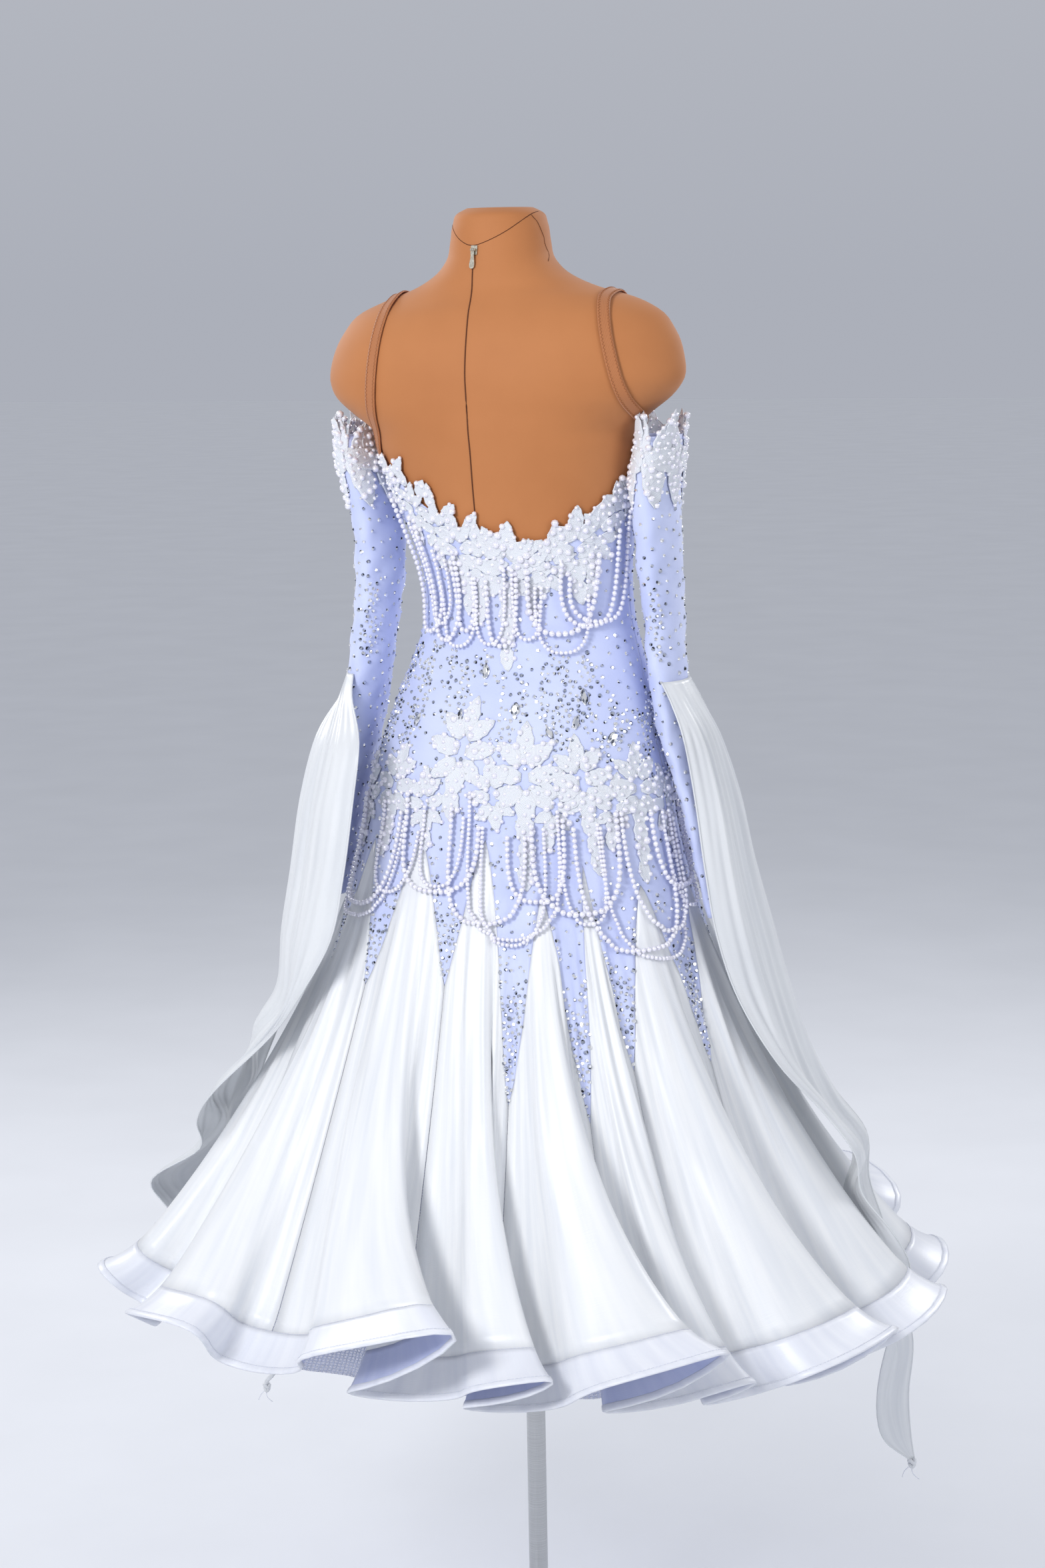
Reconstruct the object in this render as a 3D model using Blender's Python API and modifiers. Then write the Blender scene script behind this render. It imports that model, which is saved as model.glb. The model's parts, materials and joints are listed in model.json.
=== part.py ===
# Ballroom dress resting on a limbless dress form, which stands on a steel pole and base.
# Metres, +Z up, origin at the centre of the base's underside.
# The wearer's front faces -Y and the wearer's right is -X.
import bpy
import numpy as np
from math import radians, pi

for old in list(bpy.data.objects):
    bpy.data.objects.remove(old, do_unlink=True)

# Named sizes.
CLOTH = 0.0011          # thickness of the skirt's cloth
BODY_CLOTH = 0.0012     # lined crepe of the body
LACE = 0.0010           # corded lace
SEAM = 0.0007           # half the gap left at each seam
HEM_SEAM = 0.0006       # gap between the godets and the hem band
BODY_GAP = 0.0020       # from the form to the body's inner face
LACE_GAP = 0.0010       # from a panel's face to the lace on it
HIP_Z = 1.045           # where the skirt leaves the hips
SLANT = 0.645           # length of the skirt's cloth from hip to hem
BAND = 0.050            # height of the stiffened hem band
PEARL_R = 0.0026        # radius of a pearl string
POLE_R = 0.011
BASE_R = 0.180
BASE_T = 0.008
VIEW = 110.0            # world angle that phi is counted from, in degrees
BODY_CELLS = 3          # cells across one spike of the body
GODET_CELLS = 10        # cells across one godet, an even number
OPENING = 0.75          # power by which a godet opens below its apex
BUST_X, BUST_Z, BUST_WIDE = 0.072, 1.392, 0.044
BUST_FORM = 0.012
BUST_DRESS = 0.021

# The form's level sections.
# columns: z, half_width, y_front, y_back, y_side, centre_x, power
FORM = np.array([
    (0.930, 0.147, -0.080, 0.098, 0.010, 0.000, 2.20),
    (0.965, 0.161, -0.093, 0.113, 0.010, 0.000, 2.20),
    (1.005, 0.169, -0.099, 0.122, 0.010, 0.000, 2.20),
    (1.045, 0.172, -0.102, 0.127, 0.010, 0.000, 2.20),
    (1.085, 0.166, -0.102, 0.122, 0.008, 0.000, 2.20),
    (1.125, 0.154, -0.100, 0.110, 0.006, -0.001, 2.20),
    (1.165, 0.143, -0.096, 0.096, 0.004, -0.004, 2.15),
    (1.200, 0.132, -0.090, 0.085, 0.002, -0.007, 2.10),
    (1.235, 0.121, -0.084, 0.078, 0.000, -0.009, 2.10),
    (1.270, 0.116, -0.081, 0.076, 0.000, -0.009, 2.10),
    (1.305, 0.117, -0.084, 0.080, 0.000, -0.007, 2.15),
    (1.340, 0.123, -0.092, 0.087, 0.000, -0.002, 2.20),
    (1.375, 0.131, -0.099, 0.096, 0.002, 0.003, 2.20),
    (1.410, 0.140, -0.101, 0.104, 0.004, 0.008, 2.20),
    (1.440, 0.146, -0.097, 0.110, 0.008, 0.011, 2.20),
    (1.460, 0.151, -0.092, 0.114, 0.012, 0.013, 2.10),
    (1.478, 0.174, -0.089, 0.115, 0.014, 0.015, 2.00),
    (1.494, 0.194, -0.086, 0.116, 0.016, 0.013, 1.95),
    (1.514, 0.206, -0.083, 0.116, 0.018, 0.009, 1.90),
    (1.540, 0.204, -0.076, 0.112, 0.018, 0.007, 1.85),
    (1.566, 0.193, -0.066, 0.104, 0.018, 0.005, 1.80),
    (1.589, 0.172, -0.058, 0.092, 0.016, 0.004, 1.70),
    (1.602, 0.143, -0.053, 0.082, 0.014, 0.003, 1.65),
    (1.613, 0.108, -0.050, 0.075, 0.012, 0.008, 1.70),
    (1.626, 0.080, -0.048, 0.070, 0.010, 0.012, 1.85),
    (1.643, 0.0615, -0.045, 0.064, 0.009, 0.014, 2.00),
    (1.664, 0.0560, -0.043, 0.060, 0.008, 0.0145, 2.00),
    (1.684, 0.0525, -0.041, 0.057, 0.008, 0.0145, 2.00),
    (1.695, 0.0470, -0.035, 0.051, 0.008, 0.0145, 2.00),
    (1.700, 0.0370, -0.025, 0.041, 0.008, 0.0145, 2.00),
])

# The skirt's fourteen godets; each row's seam is the godet's own left edge, seen from outside.
# columns: seam_phi_hip, seam_phi_hem, wave_mm, lean_deg, pinch_deg, hem_radius_mm, spike_mm, apex_mm
WAVES = np.array([
    (-112, -104, 30, 4, 2, 458, 200, 45),
    (-86, -75, 30, 0, 3, 460, 190, 40),
    (-58, -40, 40, 10, 6, 440, 200, 30),
    (-30, -14, 26, 6, 3, 415, 190, 28),
    (-11, 0, 48, 9, 5, 425, 315, 85),
    (7, 21, 17, 3, 1, 412, 335, 55),
    (22, 33, 44, 7, 5, 425, 280, 80),
    (54, 54, 40, 7, 5, 428, 285, 60),
    (80, 76, 38, 4, 3, 432, 230, 40),
    (104, 102, 42, 6, 5, 440, 240, 55),
    (132, 131, 44, 7, 5, 440, 255, 45),
    (160, 163, 44, 7, 5, 440, 230, 60),
    (190, 199, 44, 7, 5, 440, 250, 50),
    (220, 233, 32, 4, 2, 440, 220, 45),
], float)
COUNT = len(WAVES)

# The body's upper edge.
# columns: phi, z
NECKLINE = np.array([
    (-110, 1.425), (-78, 1.422), (-55, 1.381), (-41, 1.362), (-32, 1.350), (-18, 1.341), (8, 1.334),
    (22, 1.345), (38, 1.368), (50, 1.380), (70, 1.397), (92, 1.420), (122, 1.450), (160, 1.428),
    (198, 1.450), (228, 1.430), (250, 1.425),
])

# Sleeves hang empty at the sides, flattened; x is the distance from the centre plane.
# columns: z, x_left, half_left, x_right, half_right, half_deep
SLEEVE = np.array([
    (1.452, 0.1884, 0.0200, 0.1654, 0.0200, 0.046),
    (1.430, 0.1868, 0.0220, 0.1634, 0.0220, 0.050),
    (1.390, 0.1760, 0.0225, 0.1596, 0.0225, 0.051),
    (1.345, 0.168, 0.0225, 0.163, 0.0215, 0.050),
    (1.300, 0.168, 0.0225, 0.165, 0.0205, 0.048),
    (1.250, 0.173, 0.0215, 0.170, 0.0185, 0.046),
    (1.195, 0.181, 0.0205, 0.173, 0.0175, 0.045),
    (1.140, 0.190, 0.0180, 0.180, 0.0170, 0.044),
    (1.080, 0.201, 0.0150, 0.197, 0.0150, 0.043),
    (1.020, 0.212, 0.0140, 0.211, 0.0135, 0.042),
    (0.965, 0.223, 0.0130, 0.223, 0.0130, 0.041),
    (0.925, 0.231, 0.0120, 0.231, 0.0120, 0.040),
])

# Each float runs from the elbow, down over the skirt, and ends in a point below the hem.
# Its level sections run from edge a through the middle m to edge b. Each is given in mm along the
# two level ways seen from VIEW: right, then back towards VIEW.
# columns: z, a_right, a_back, m_right, m_back, b_right, b_back
FLOAT_LEFT = np.array([
    (1.185, -190, 0, -206, -40, -200, -75), (1.160, -186, 50, -214, 0, -216, -60), (1.120, -182, 95, -222, 40, -228, -30),
    (1.050, -190, 110, -238, 50, -242, -20), (0.970, -202, 120, -250, 60, -256, -20),
    (0.900, -218, 120, -264, 60, -268, -40), (0.830, -250, 90, -274, 40, -278, -60),
    (0.775, -276, 40, -288, 0, -288, -90), (0.700, -318, -10, -322, -70, -300, -140),
    (0.650, -345, -60, -338, -125, -302, -180), (0.600, -365, -115, -348, -175, -312, -225),
    (0.550, -398, -150, -374, -210, -332, -262), (0.510, -428, -190, -394, -250, -352, -300),
    (0.465, -408, -235, -380, -275, -347, -315), (0.410, -385, -260, -365, -290, -342, -318),
    (0.350, -363, -282, -349, -302, -334, -320), (0.300, -342, -303, -336, -311, -329, -320),
    (0.272, -329, -312, -327, -315, -325, -318),
])
FLOAT_RIGHT = np.array([
    (1.185, 170, 95, 190, 75, 200, 40), (1.160, 174, 110, 200, 84, 208, 38), (1.120, 174, 125, 206, 85, 214, 30),
    (1.050, 186, 118, 224, 80, 236, 10), (0.970, 196, 130, 240, 85, 254, 0),
    (0.900, 208, 135, 257, 88, 273, -10), (0.830, 228, 138, 277, 85, 291, -15),
    (0.760, 258, 138, 301, 85, 313, -15), (0.700, 303, 120, 331, 75, 343, 10),
    (0.650, 333, 118, 347, 66, 358, 26), (0.600, 369, 112, 354, 68, 384, 46),
    (0.550, 405, 99, 372, 88, 399, 66), (0.510, 425, 88, 376, 99, 407, 70),
    (0.480, 421, 103, 398, 104, 416, 78), (0.420, 400, 93, 412, 87, 430, 80),
    (0.360, 388, 96, 404, 90, 425, 82), (0.315, 394, 100, 411, 93, 427, 85),
    (0.285, 426, 92, 428, 90, 431, 88),
])
FLOAT_CELLS = 8

# Pearl strings. Each one is a chain of hanging loops, sewn down where two loops meet.
# columns: phi_start, phi_end, loops, z_held, z_low, held_off_mm, hanging_off_mm
SWAGS = {
    "swag_body_back": (-60, 52, 6, 1.292, 1.232, 5.9, 7.2),
    "swag_hip_upper_back": (-90, 52, 6, 1.068, 0.975, 5.0, 9.0),
    "swag_hip_lower_back": (-90, 52, 6, 1.045, 0.895, 5.0, 16.0),
    "swag_hip_upper_front": (88, 232, 6, 1.068, 0.975, 5.0, 9.0),
    "swag_hip_lower_front": (88, 232, 6, 1.045, 0.895, 5.5, 16.0),
}


def surface_material(name, rgb, rough, metal=0.0):
    mat = bpy.data.materials.new(name)
    mat.use_nodes = True
    bsdf = mat.node_tree.nodes["Principled BSDF"]
    bsdf.inputs["Base Color"].default_value = (rgb[0], rgb[1], rgb[2], 1.0)
    bsdf.inputs["Roughness"].default_value = rough
    bsdf.inputs["Metallic"].default_value = metal
    mat.diffuse_color = (rgb[0], rgb[1], rgb[2], 1.0)
    return mat


MATS = {
    "form_cover": surface_material("form_cover", (0.40, 0.15, 0.055), 0.6),
    "brushed_steel": surface_material("brushed_steel", (0.55, 0.55, 0.56), 0.3, 1.0),
    "zip_metal": surface_material("zip_metal", (0.50, 0.47, 0.42), 0.35, 1.0),
    "nude_elastic": surface_material("nude_elastic", (0.50, 0.24, 0.12), 0.7),
    "blue_crepe": surface_material("blue_crepe", (0.55, 0.62, 0.90), 0.7),
    "white_satin": surface_material("white_satin", (0.80, 0.83, 0.87), 0.35),
    "hem_band_satin": surface_material("hem_band_satin", (0.86, 0.88, 0.92), 0.35),
    "stiff_tulle": surface_material("stiff_tulle", (0.70, 0.73, 0.85), 0.8),
    "white_lace": surface_material("white_lace", (0.90, 0.90, 0.93), 0.8),
    "pearl": surface_material("pearl", (0.85, 0.83, 0.90), 0.2),
}

parts = bpy.data.collections.new("ballroom_dress_on_form")
bpy.context.scene.collection.children.link(parts)


def form_point(theta, z, bust):
    """A point of the form's face at world angle theta (radians) and height z."""
    theta = np.asarray(theta, float)
    level = np.clip(np.asarray(z, float), FORM[0, 0], FORM[-1, 0])
    cols = [np.interp(level, FORM[:, 0], FORM[:, k]) for k in range(1, 7)]
    half, front, back, side, centre, power = cols
    c = np.cos(theta)
    s = np.sin(theta)
    across = half * np.sign(c) * np.abs(c) ** (2 / power)
    deep = np.where(s > 0, back - side, side - front)
    y = side + deep * np.sign(s) * np.abs(s) ** (2 / power)
    far = (np.abs(across) - BUST_X) ** 2 + (level - BUST_Z) ** 2
    y = y - bust * np.exp(-far / (2 * BUST_WIDE ** 2)) * np.clip(-s, 0, 1)
    return np.stack([across + centre, y, np.asarray(z, float) + 0 * c], -1)


def form_normal(theta, z, bust):
    """The outward unit normal there."""
    step = 0.002
    along = form_point(theta + step, z, bust) - form_point(theta - step, z, bust)
    up = form_point(theta, z + step, bust) - form_point(theta, z - step, bust)
    n = np.cross(along, up)
    return n / np.linalg.norm(n, axis=-1, keepdims=True)


def seam_angle(column, t):
    """The angle of seam t, eased between whole numbers."""
    seams = WAVES[:, column]
    ring = np.concatenate([seams[-3:] - 360, seams, seams[:5] + 360])
    t = np.asarray(t, float)
    k = np.floor(t).astype(int)
    f = t - k
    p0, p1, p2, p3 = (ring[k + 3 + d] for d in (-1, 0, 1, 2))
    most = 2.2 * (p2 - p1)
    m1 = np.minimum((p2 - p0) / 2, most)
    m2 = np.minimum((p3 - p1) / 2, most)
    a = (2 * f ** 3 - 3 * f ** 2 + 1) * p1 + (f ** 3 - 2 * f ** 2 + f) * m1
    return a + (3 * f ** 2 - 2 * f ** 3) * p2 + (f ** 3 - f ** 2) * m2


def wave_value(column, t):
    """A value given at each godet's middle, eased from one godet to the next."""
    values = WAVES[:, column]
    u = np.asarray(t, float) - 0.5
    k = np.floor(u).astype(int)
    f = (1 - np.cos(pi * (u - k))) / 2
    return values[k % COUNT] * (1 - f) + values[(k + 1) % COUNT] * f


SLICES = np.linspace(0, 1, 97)


def skirt_lines(t):
    """For each t, the whole line of cloth from the hip (first) to the hem (last)."""
    t = np.asarray(t, float).ravel()
    tt, s = np.meshgrid(t, SLICES, indexing="ij")
    turn = 2 * pi * (tt - np.floor(tt))
    wave = wave_value(2, tt) / 1000
    lean = wave_value(3, tt)
    pinch = wave_value(4, tt)
    hem_r = wave_value(5, tt) / 1000
    hip = seam_angle(0, tt)
    phi = hip + (seam_angle(1, tt) - hip) * s ** 1.3
    phi = phi + (pinch * np.sin(2 * turn) - lean * np.cos(turn)) * s ** 2.2
    theta = np.radians(VIEW + phi)
    start = form_point(theta, np.full_like(theta, HIP_Z), 0.0)
    reach = np.linalg.norm(start[..., :2], axis=-1, keepdims=True)
    start = start[..., :2] * (1 + (BODY_GAP + BODY_CLOTH / 2) / reach)
    kick = 0.012 * np.clip((s - 0.88) / 0.12, 0, 1) ** 2
    out = kick - np.cos(turn) * wave * s ** 1.8
    ray = np.stack([np.cos(theta), np.sin(theta)], -1)
    flat = start + (hem_r[..., None] * ray - start) * (s ** 1.35)[..., None] + out[..., None] * ray
    run = np.diff(flat, axis=1)
    step = SLANT / (len(SLICES) - 1)
    fall = np.sqrt(np.maximum(step ** 2 - (run ** 2).sum(-1), (0.25 * step) ** 2))
    z = HIP_Z - np.concatenate([np.zeros((len(t), 1)), np.cumsum(fall, axis=1)], axis=1)
    return np.concatenate([flat, z[..., None]], -1)


def skirt_point(t, s):
    """Points of the skirt's middle face for arrays t and s of one shape."""
    t = np.asarray(t, float)
    s = np.broadcast_to(np.asarray(s, float), t.shape)
    lines = skirt_lines(t)
    where = np.clip(s.ravel(), 0, 1) * (len(SLICES) - 1)
    low = np.minimum(where.astype(int), len(SLICES) - 2)
    f = (where - low)[:, None]
    row = np.arange(len(low))
    return (lines[row, low] * (1 - f) + lines[row, low + 1] * f).reshape(t.shape + (3,))


def body_point(t, z):
    """Points of the body's middle face above the hip."""
    theta = np.radians(VIEW + seam_angle(0, t))
    z = np.broadcast_to(z, theta.shape)
    p = form_point(theta, z, BUST_DRESS)
    n = form_normal(theta, z, BUST_DRESS)
    n = n * np.array([1, 1, 0.5])
    ease = np.clip((z - HIP_Z) / 0.05, 0, 1)[..., None]
    ray = p[..., :2] / np.linalg.norm(p[..., :2], axis=-1, keepdims=True)
    flat = np.concatenate([ray, 0 * ray[..., :1]], -1)
    n = n * ease + flat * (1 - ease)
    n = n / np.linalg.norm(n, axis=-1, keepdims=True)
    return p + n * (BODY_GAP + BODY_CLOTH / 2)


def godet_open(u):
    """How far a godet has opened at fraction u from its apex to the tip of the spike beside it."""
    return np.clip(u, 0, 1) ** OPENING


def spike_line(k, v, u):
    """A column of the body below the hip; v is -1..1 across spike k and u is 0..1 down to its tip."""
    tip = WAVES[k % COUNT, 6] / 1000 / SLANT
    left = WAVES[(k - 1) % COUNT, 7] / 1000 / SLANT
    right = WAVES[k % COUNT, 7] / 1000 / SLANT
    mid = (left + right) / 2
    side = left if v < 0 else right
    apex = mid + (side - mid) * abs(v)
    s = apex + (tip - apex) * u
    t = k + v / 2 * (1 - godet_open(u))
    return t, s, apex


def mesh_object(name, verts, faces, material):
    mesh = bpy.data.meshes.new(name)
    mesh.from_pydata([tuple(float(c) for c in p) for p in verts], [], faces)
    mesh.validate()
    mesh.materials.append(MATS[material])
    obj = bpy.data.objects.new(name, mesh)
    parts.objects.link(obj)
    return obj


def thicken(obj, thickness):
    mod = obj.modifiers.new("cloth", "SOLIDIFY")
    mod.thickness = thickness
    mod.offset = 0.0
    mod.use_even_offset = True
    mod.use_rim = True
    mod.use_quality_normals = True


def cell(a, b, c, d):
    """A four-cornered cell as two triangles, always cut along the same diagonal."""
    return [(a, b, c), (a, c, d)]


def grid_faces(cols, rows, ring):
    faces = []
    last = cols if ring else cols - 1
    for i in range(last):
        j = (i + 1) % cols
        for k in range(rows - 1):
            faces += cell(i * rows + k, i * rows + k + 1, j * rows + k + 1, j * rows + k)
    return faces


def sheet(name, grid, material, thickness, ring=False):
    """A cloth panel from a grid of points, columns first, with its face to the outside."""
    grid = np.asarray(grid, float)
    cols, rows = grid.shape[:2]
    obj = mesh_object(name, grid.reshape(-1, 3), grid_faces(cols, rows, ring), material)
    thicken(obj, thickness)
    return obj


def drawn_in(edge, inner, amount):
    """An edge's points moved square to the edge, into the cloth."""
    along = np.gradient(edge, axis=0)
    along = along / np.maximum(np.linalg.norm(along, axis=1, keepdims=True), 1e-9)
    into = inner - edge
    into = into - along * (into * along).sum(1, keepdims=True)
    size = np.maximum(np.linalg.norm(into, axis=1, keepdims=True), 1e-9)
    return edge + into / size * np.minimum(amount, size * 0.4)


def inset(grid, across, down):
    """The grid with its edges drawn in along the cloth, which leaves the seam gaps."""
    g = np.array(grid, float)
    if across:
        g[0] = drawn_in(g[0], g[1], across)
        g[-1] = drawn_in(g[-1], g[-2], across)
    if down:
        g[:, 0] = drawn_in(g[:, 0], g[:, 1], down)
        g[:, -1] = drawn_in(g[:, -1], g[:, -2], HEM_SEAM)
    return g


def grid_normals(grid, ring):
    """Outward normals of a grid whose columns run left to right seen from outside."""
    if ring:
        wide = np.roll(grid, -1, axis=0) - np.roll(grid, 1, axis=0)
    else:
        wide = np.gradient(grid, axis=0)
    deep = np.gradient(grid, axis=1)
    n = np.cross(deep, wide)
    n = n / np.maximum(np.linalg.norm(n, axis=-1, keepdims=True), 1e-9)
    return n


# The form, the pole and the base.
FORM_COLS = 28
angles = np.radians(90 + 360 / FORM_COLS * np.arange(FORM_COLS))
levels = FORM[:, 0]
rings = np.stack([form_point(angles, np.full(FORM_COLS, z), BUST_FORM) for z in levels])
verts = rings.reshape(-1, 3)
faces = []
for r in range(len(levels) - 1):
    for c in range(FORM_COLS):
        d = (c + 1) % FORM_COLS
        low = r * FORM_COLS
        faces += cell(low + c, low + d, low + FORM_COLS + d, low + FORM_COLS + c)
faces.append(tuple(range(FORM_COLS))[::-1])
faces.append(tuple((len(levels) - 1) * FORM_COLS + c for c in range(FORM_COLS)))
form = mesh_object("form_torso", verts, faces, "form_cover")
for poly in form.data.polygons:
    poly.use_smooth = len(poly.vertices) == 3


def turned(name, profile, material, steps=32):
    """A solid of revolution about Z from (radius, z) pairs that start and end on the axis."""
    mesh = bpy.data.meshes.new(name)
    points = [(r, 0.0, z) for r, z in profile]
    edges = [(i, i + 1) for i in range(len(points) - 1)]
    mesh.from_pydata(points, edges, [])
    mesh.materials.append(MATS[material])
    obj = bpy.data.objects.new(name, mesh)
    parts.objects.link(obj)
    mod = obj.modifiers.new("turn", "SCREW")
    mod.axis = "Z"
    mod.angle = 2 * pi
    mod.steps = steps
    mod.render_steps = steps
    mod.use_merge_vertices = True
    mod.merge_threshold = 0.00001
    mod.use_normal_calculate = True
    return obj


turned("base", [
    (0.0, 0.0), (BASE_R - 0.002, 0.0), (BASE_R, 0.002), (BASE_R, BASE_T - 0.002), (BASE_R - 0.002, BASE_T),
    (0.030, BASE_T), (0.028, 0.030), (0.024, 0.034), (0.0, 0.034),
], "brushed_steel", 28)
turned("pole", [
    (0.0, 0.0343), (POLE_R, 0.0343), (POLE_R, 0.9070), (0.024, 0.9080), (0.026, 0.9100), (0.026, 0.9280),
    (0.024, 0.9297), (0.0, 0.9297),
], "brushed_steel", 24)

# The body of the dress: two panels of crepe, each ending in seven spikes.
BODY_ROWS = np.array([0.0, 0.11, 0.23, 0.36, 0.50, 0.63, 0.76, 0.88, 1.0])
HALF_CELLS = GODET_CELLS // 2
SPIKE_ROWS = (np.arange(HALF_CELLS) / HALF_CELLS) ** (1 / OPENING)


def neck_z(phi):
    wrapped = (np.asarray(phi, float) + 110) % 360 - 110
    return np.interp(wrapped, NECKLINE[:, 0], NECKLINE[:, 1])


def body_column(k, v):
    """Points from the neckline to the last row above the spike's tip."""
    t, s, apex = spike_line(k, v, SPIKE_ROWS)
    above = k + v / 2
    top = neck_z(seam_angle(0, np.array([above])))[0]
    z = top + (HIP_Z - top) * BODY_ROWS
    upper = body_point(np.full(len(z), above), z)
    lower = skirt_point(t, s)
    return np.concatenate([upper, lower])


def body_columns(first, last):
    """Columns of spikes first..last, and the tip point of each spike."""
    columns = []
    for k in range(first, last + 1):
        for i in range(BODY_CELLS + (1 if k == last else 0)):
            v = -1 + 2 * i / BODY_CELLS
            columns.append(body_column(k, v))
    tips = [skirt_point(np.array([float(k)]), WAVES[k % COUNT, 6] / 1000 / SLANT)[0] for k in range(first, last + 1)]
    return np.array(columns), np.array(tips)


def body_panel(name, first, last):
    grid, tips = body_columns(first, last)
    grid = inset(grid, SEAM * 0.6, 0)
    spikes = last - first + 1
    shared = len(BODY_ROWS)
    rows = grid.shape[1]
    verts = list(grid.reshape(-1, 3))
    faces = []
    for n in range(spikes):
        cols = [n * BODY_CELLS + i for i in range(BODY_CELLS + 1)]
        ids = [[c * rows + r for r in range(rows)] for c in cols]
        inner = [grid[c] for c in cols]
        if n < spikes - 1:
            inner[-1] = np.concatenate([grid[cols[-1]][:shared], body_column(first + n, 1.0)[shared:]])
        tip_id = len(verts)
        centre = (inner[1][-1] + inner[-2][-1]) / 2
        verts.append(tips[n] + (centre - tips[n]) * 0.05)
        for edge, nxt in ((0, 1), (BODY_CELLS, BODY_CELLS - 1)):
            own_edge = (edge == 0 and n == 0) or (edge == BODY_CELLS and n == spikes - 1)
            for r in range(shared + 1, rows):
                d = inner[nxt][r] - inner[edge][r]
                moved = inner[edge][r] + d / np.linalg.norm(d) * SEAM
                if own_edge:
                    verts[ids[edge][r]] = moved
                else:
                    ids[edge][r] = len(verts)
                    verts.append(moved)
        for i in range(BODY_CELLS):
            for r in range(rows - 1):
                faces += cell(ids[i][r], ids[i][r + 1], ids[i + 1][r + 1], ids[i + 1][r])
            faces.append((ids[i][rows - 1], tip_id, ids[i + 1][rows - 1]))
    obj = mesh_object(name, verts, faces, "blue_crepe")
    thicken(obj, BODY_CLOTH)
    return grid


back_grid = body_panel("body_back", 1, 7)
front_grid = body_panel("body_front", 8, 14)

# The godets, from their apexes to the top of the hem band.
BAND_S = 1 - BAND / SLANT
GODET_ROWS = 5


def godet(k):
    left_tip = WAVES[k % COUNT, 6] / 1000 / SLANT
    right_tip = WAVES[(k + 1) % COUNT, 6] / 1000 / SLANT
    apex = WAVES[k % COUNT, 7] / 1000 / SLANT
    grid = []
    for i in range(GODET_CELLS + 1):
        w = 2 * i / GODET_CELLS - 1
        tip = left_tip if w < 0 else right_tip
        head = apex + (tip - apex) * abs(w) ** (1 / OPENING)
        rows = head + (BAND_S - head) * np.linspace(0, 1, GODET_ROWS + 1) ** 0.9
        t = np.full(len(rows), k + 0.5 + w / 2)
        grid.append(skirt_point(t, rows))
    grid = inset(grid, SEAM, SEAM)
    grid[GODET_CELLS // 2, 0] += (0, 0, -0.0040)
    grid[(0, -1), 0] += (0, 0, -0.0012)
    sheet("godet_%02d" % (k + 1), grid, "white_satin", CLOTH)
    return grid


for k in range(COUNT):
    godet(k)

# The stiffened hem band, one ring that repeats the godets' columns.
columns = []
for k in range(COUNT):
    for i in range(GODET_CELLS):
        t = np.full(2, k + i / GODET_CELLS)
        columns.append(skirt_point(t, np.array([BAND_S, 1.0])))
sheet("hem_band", columns, "hem_band_satin", 0.0014, ring=True)

# The stiff tulle petticoat inside.
PETTI_TOP, PETTI_HEM_Z, PETTI_HEM_R = 0.965, 0.462, 0.352
PETTI_WAVES = 12
PETTI_IN = 0.0010 / 2 + 0.0004
waist = form_point(angles, np.full(FORM_COLS, PETTI_TOP), BUST_FORM)
waist = np.stack([waist, (waist + np.roll(waist, -1, axis=0)) / 2], 1).reshape(-1, 3)
rows = np.array([0.0, 0.25, 0.5, 1.0])
columns = []
for point in waist:
    theta = np.arctan2(point[1], point[0])
    reach = np.hypot(point[0], point[1]) + PETTI_IN
    z = PETTI_TOP + (PETTI_HEM_Z - PETTI_TOP) * rows
    radius = reach + (PETTI_HEM_R - reach) * rows ** 1.3
    radius = radius + 0.012 * rows ** 1.5 * np.cos(PETTI_WAVES * theta)
    columns.append(np.stack([radius * np.cos(theta), radius * np.sin(theta), z], -1))
sheet("petticoat", columns, "stiff_tulle", 0.0010, ring=True)


def envelope():
    """The skirt's outermost radius in cells of angle and height, widened by one cell each way."""
    t = np.linspace(0, COUNT, COUNT * 24, endpoint=False)
    points = skirt_lines(t).reshape(-1, 3)
    cells = np.zeros((180, 70))
    a = (np.degrees(np.arctan2(points[:, 1], points[:, 0])) % 360 / 2).astype(int) % 180
    h = np.clip(((points[:, 2] - 0.40) / 0.01).astype(int), 0, 69)
    np.maximum.at(cells, (a, h), np.hypot(points[:, 0], points[:, 1]))
    for _ in range(2):
        grown = cells.copy()
        for da in (-1, 0, 1):
            for dh in (-1, 0, 1):
                moved = np.roll(cells, da, axis=0)
                moved = np.roll(moved, dh, axis=1) if dh == 0 else np.pad(moved, ((0, 0), (1, 1)), "edge")[:, 1 + dh:71 + dh]
                grown = np.maximum(grown, moved)
        cells = grown
    return cells


ENVELOPE = envelope()


def body_radius(theta, z):
    """The body's outer radius at a true level angle."""
    a = np.radians(np.arange(0, 360, 2))
    found = []
    for angle, level in zip(theta.ravel(), z.ravel()):
        p = form_point(a, np.full(len(a), level), BUST_DRESS)
        found.append(np.interp(angle, np.arctan2(p[:, 1], p[:, 0]), np.hypot(p[:, 0], p[:, 1]), period=2 * pi))
    return np.reshape(found, theta.shape) + BODY_GAP + BODY_CLOTH


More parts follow.
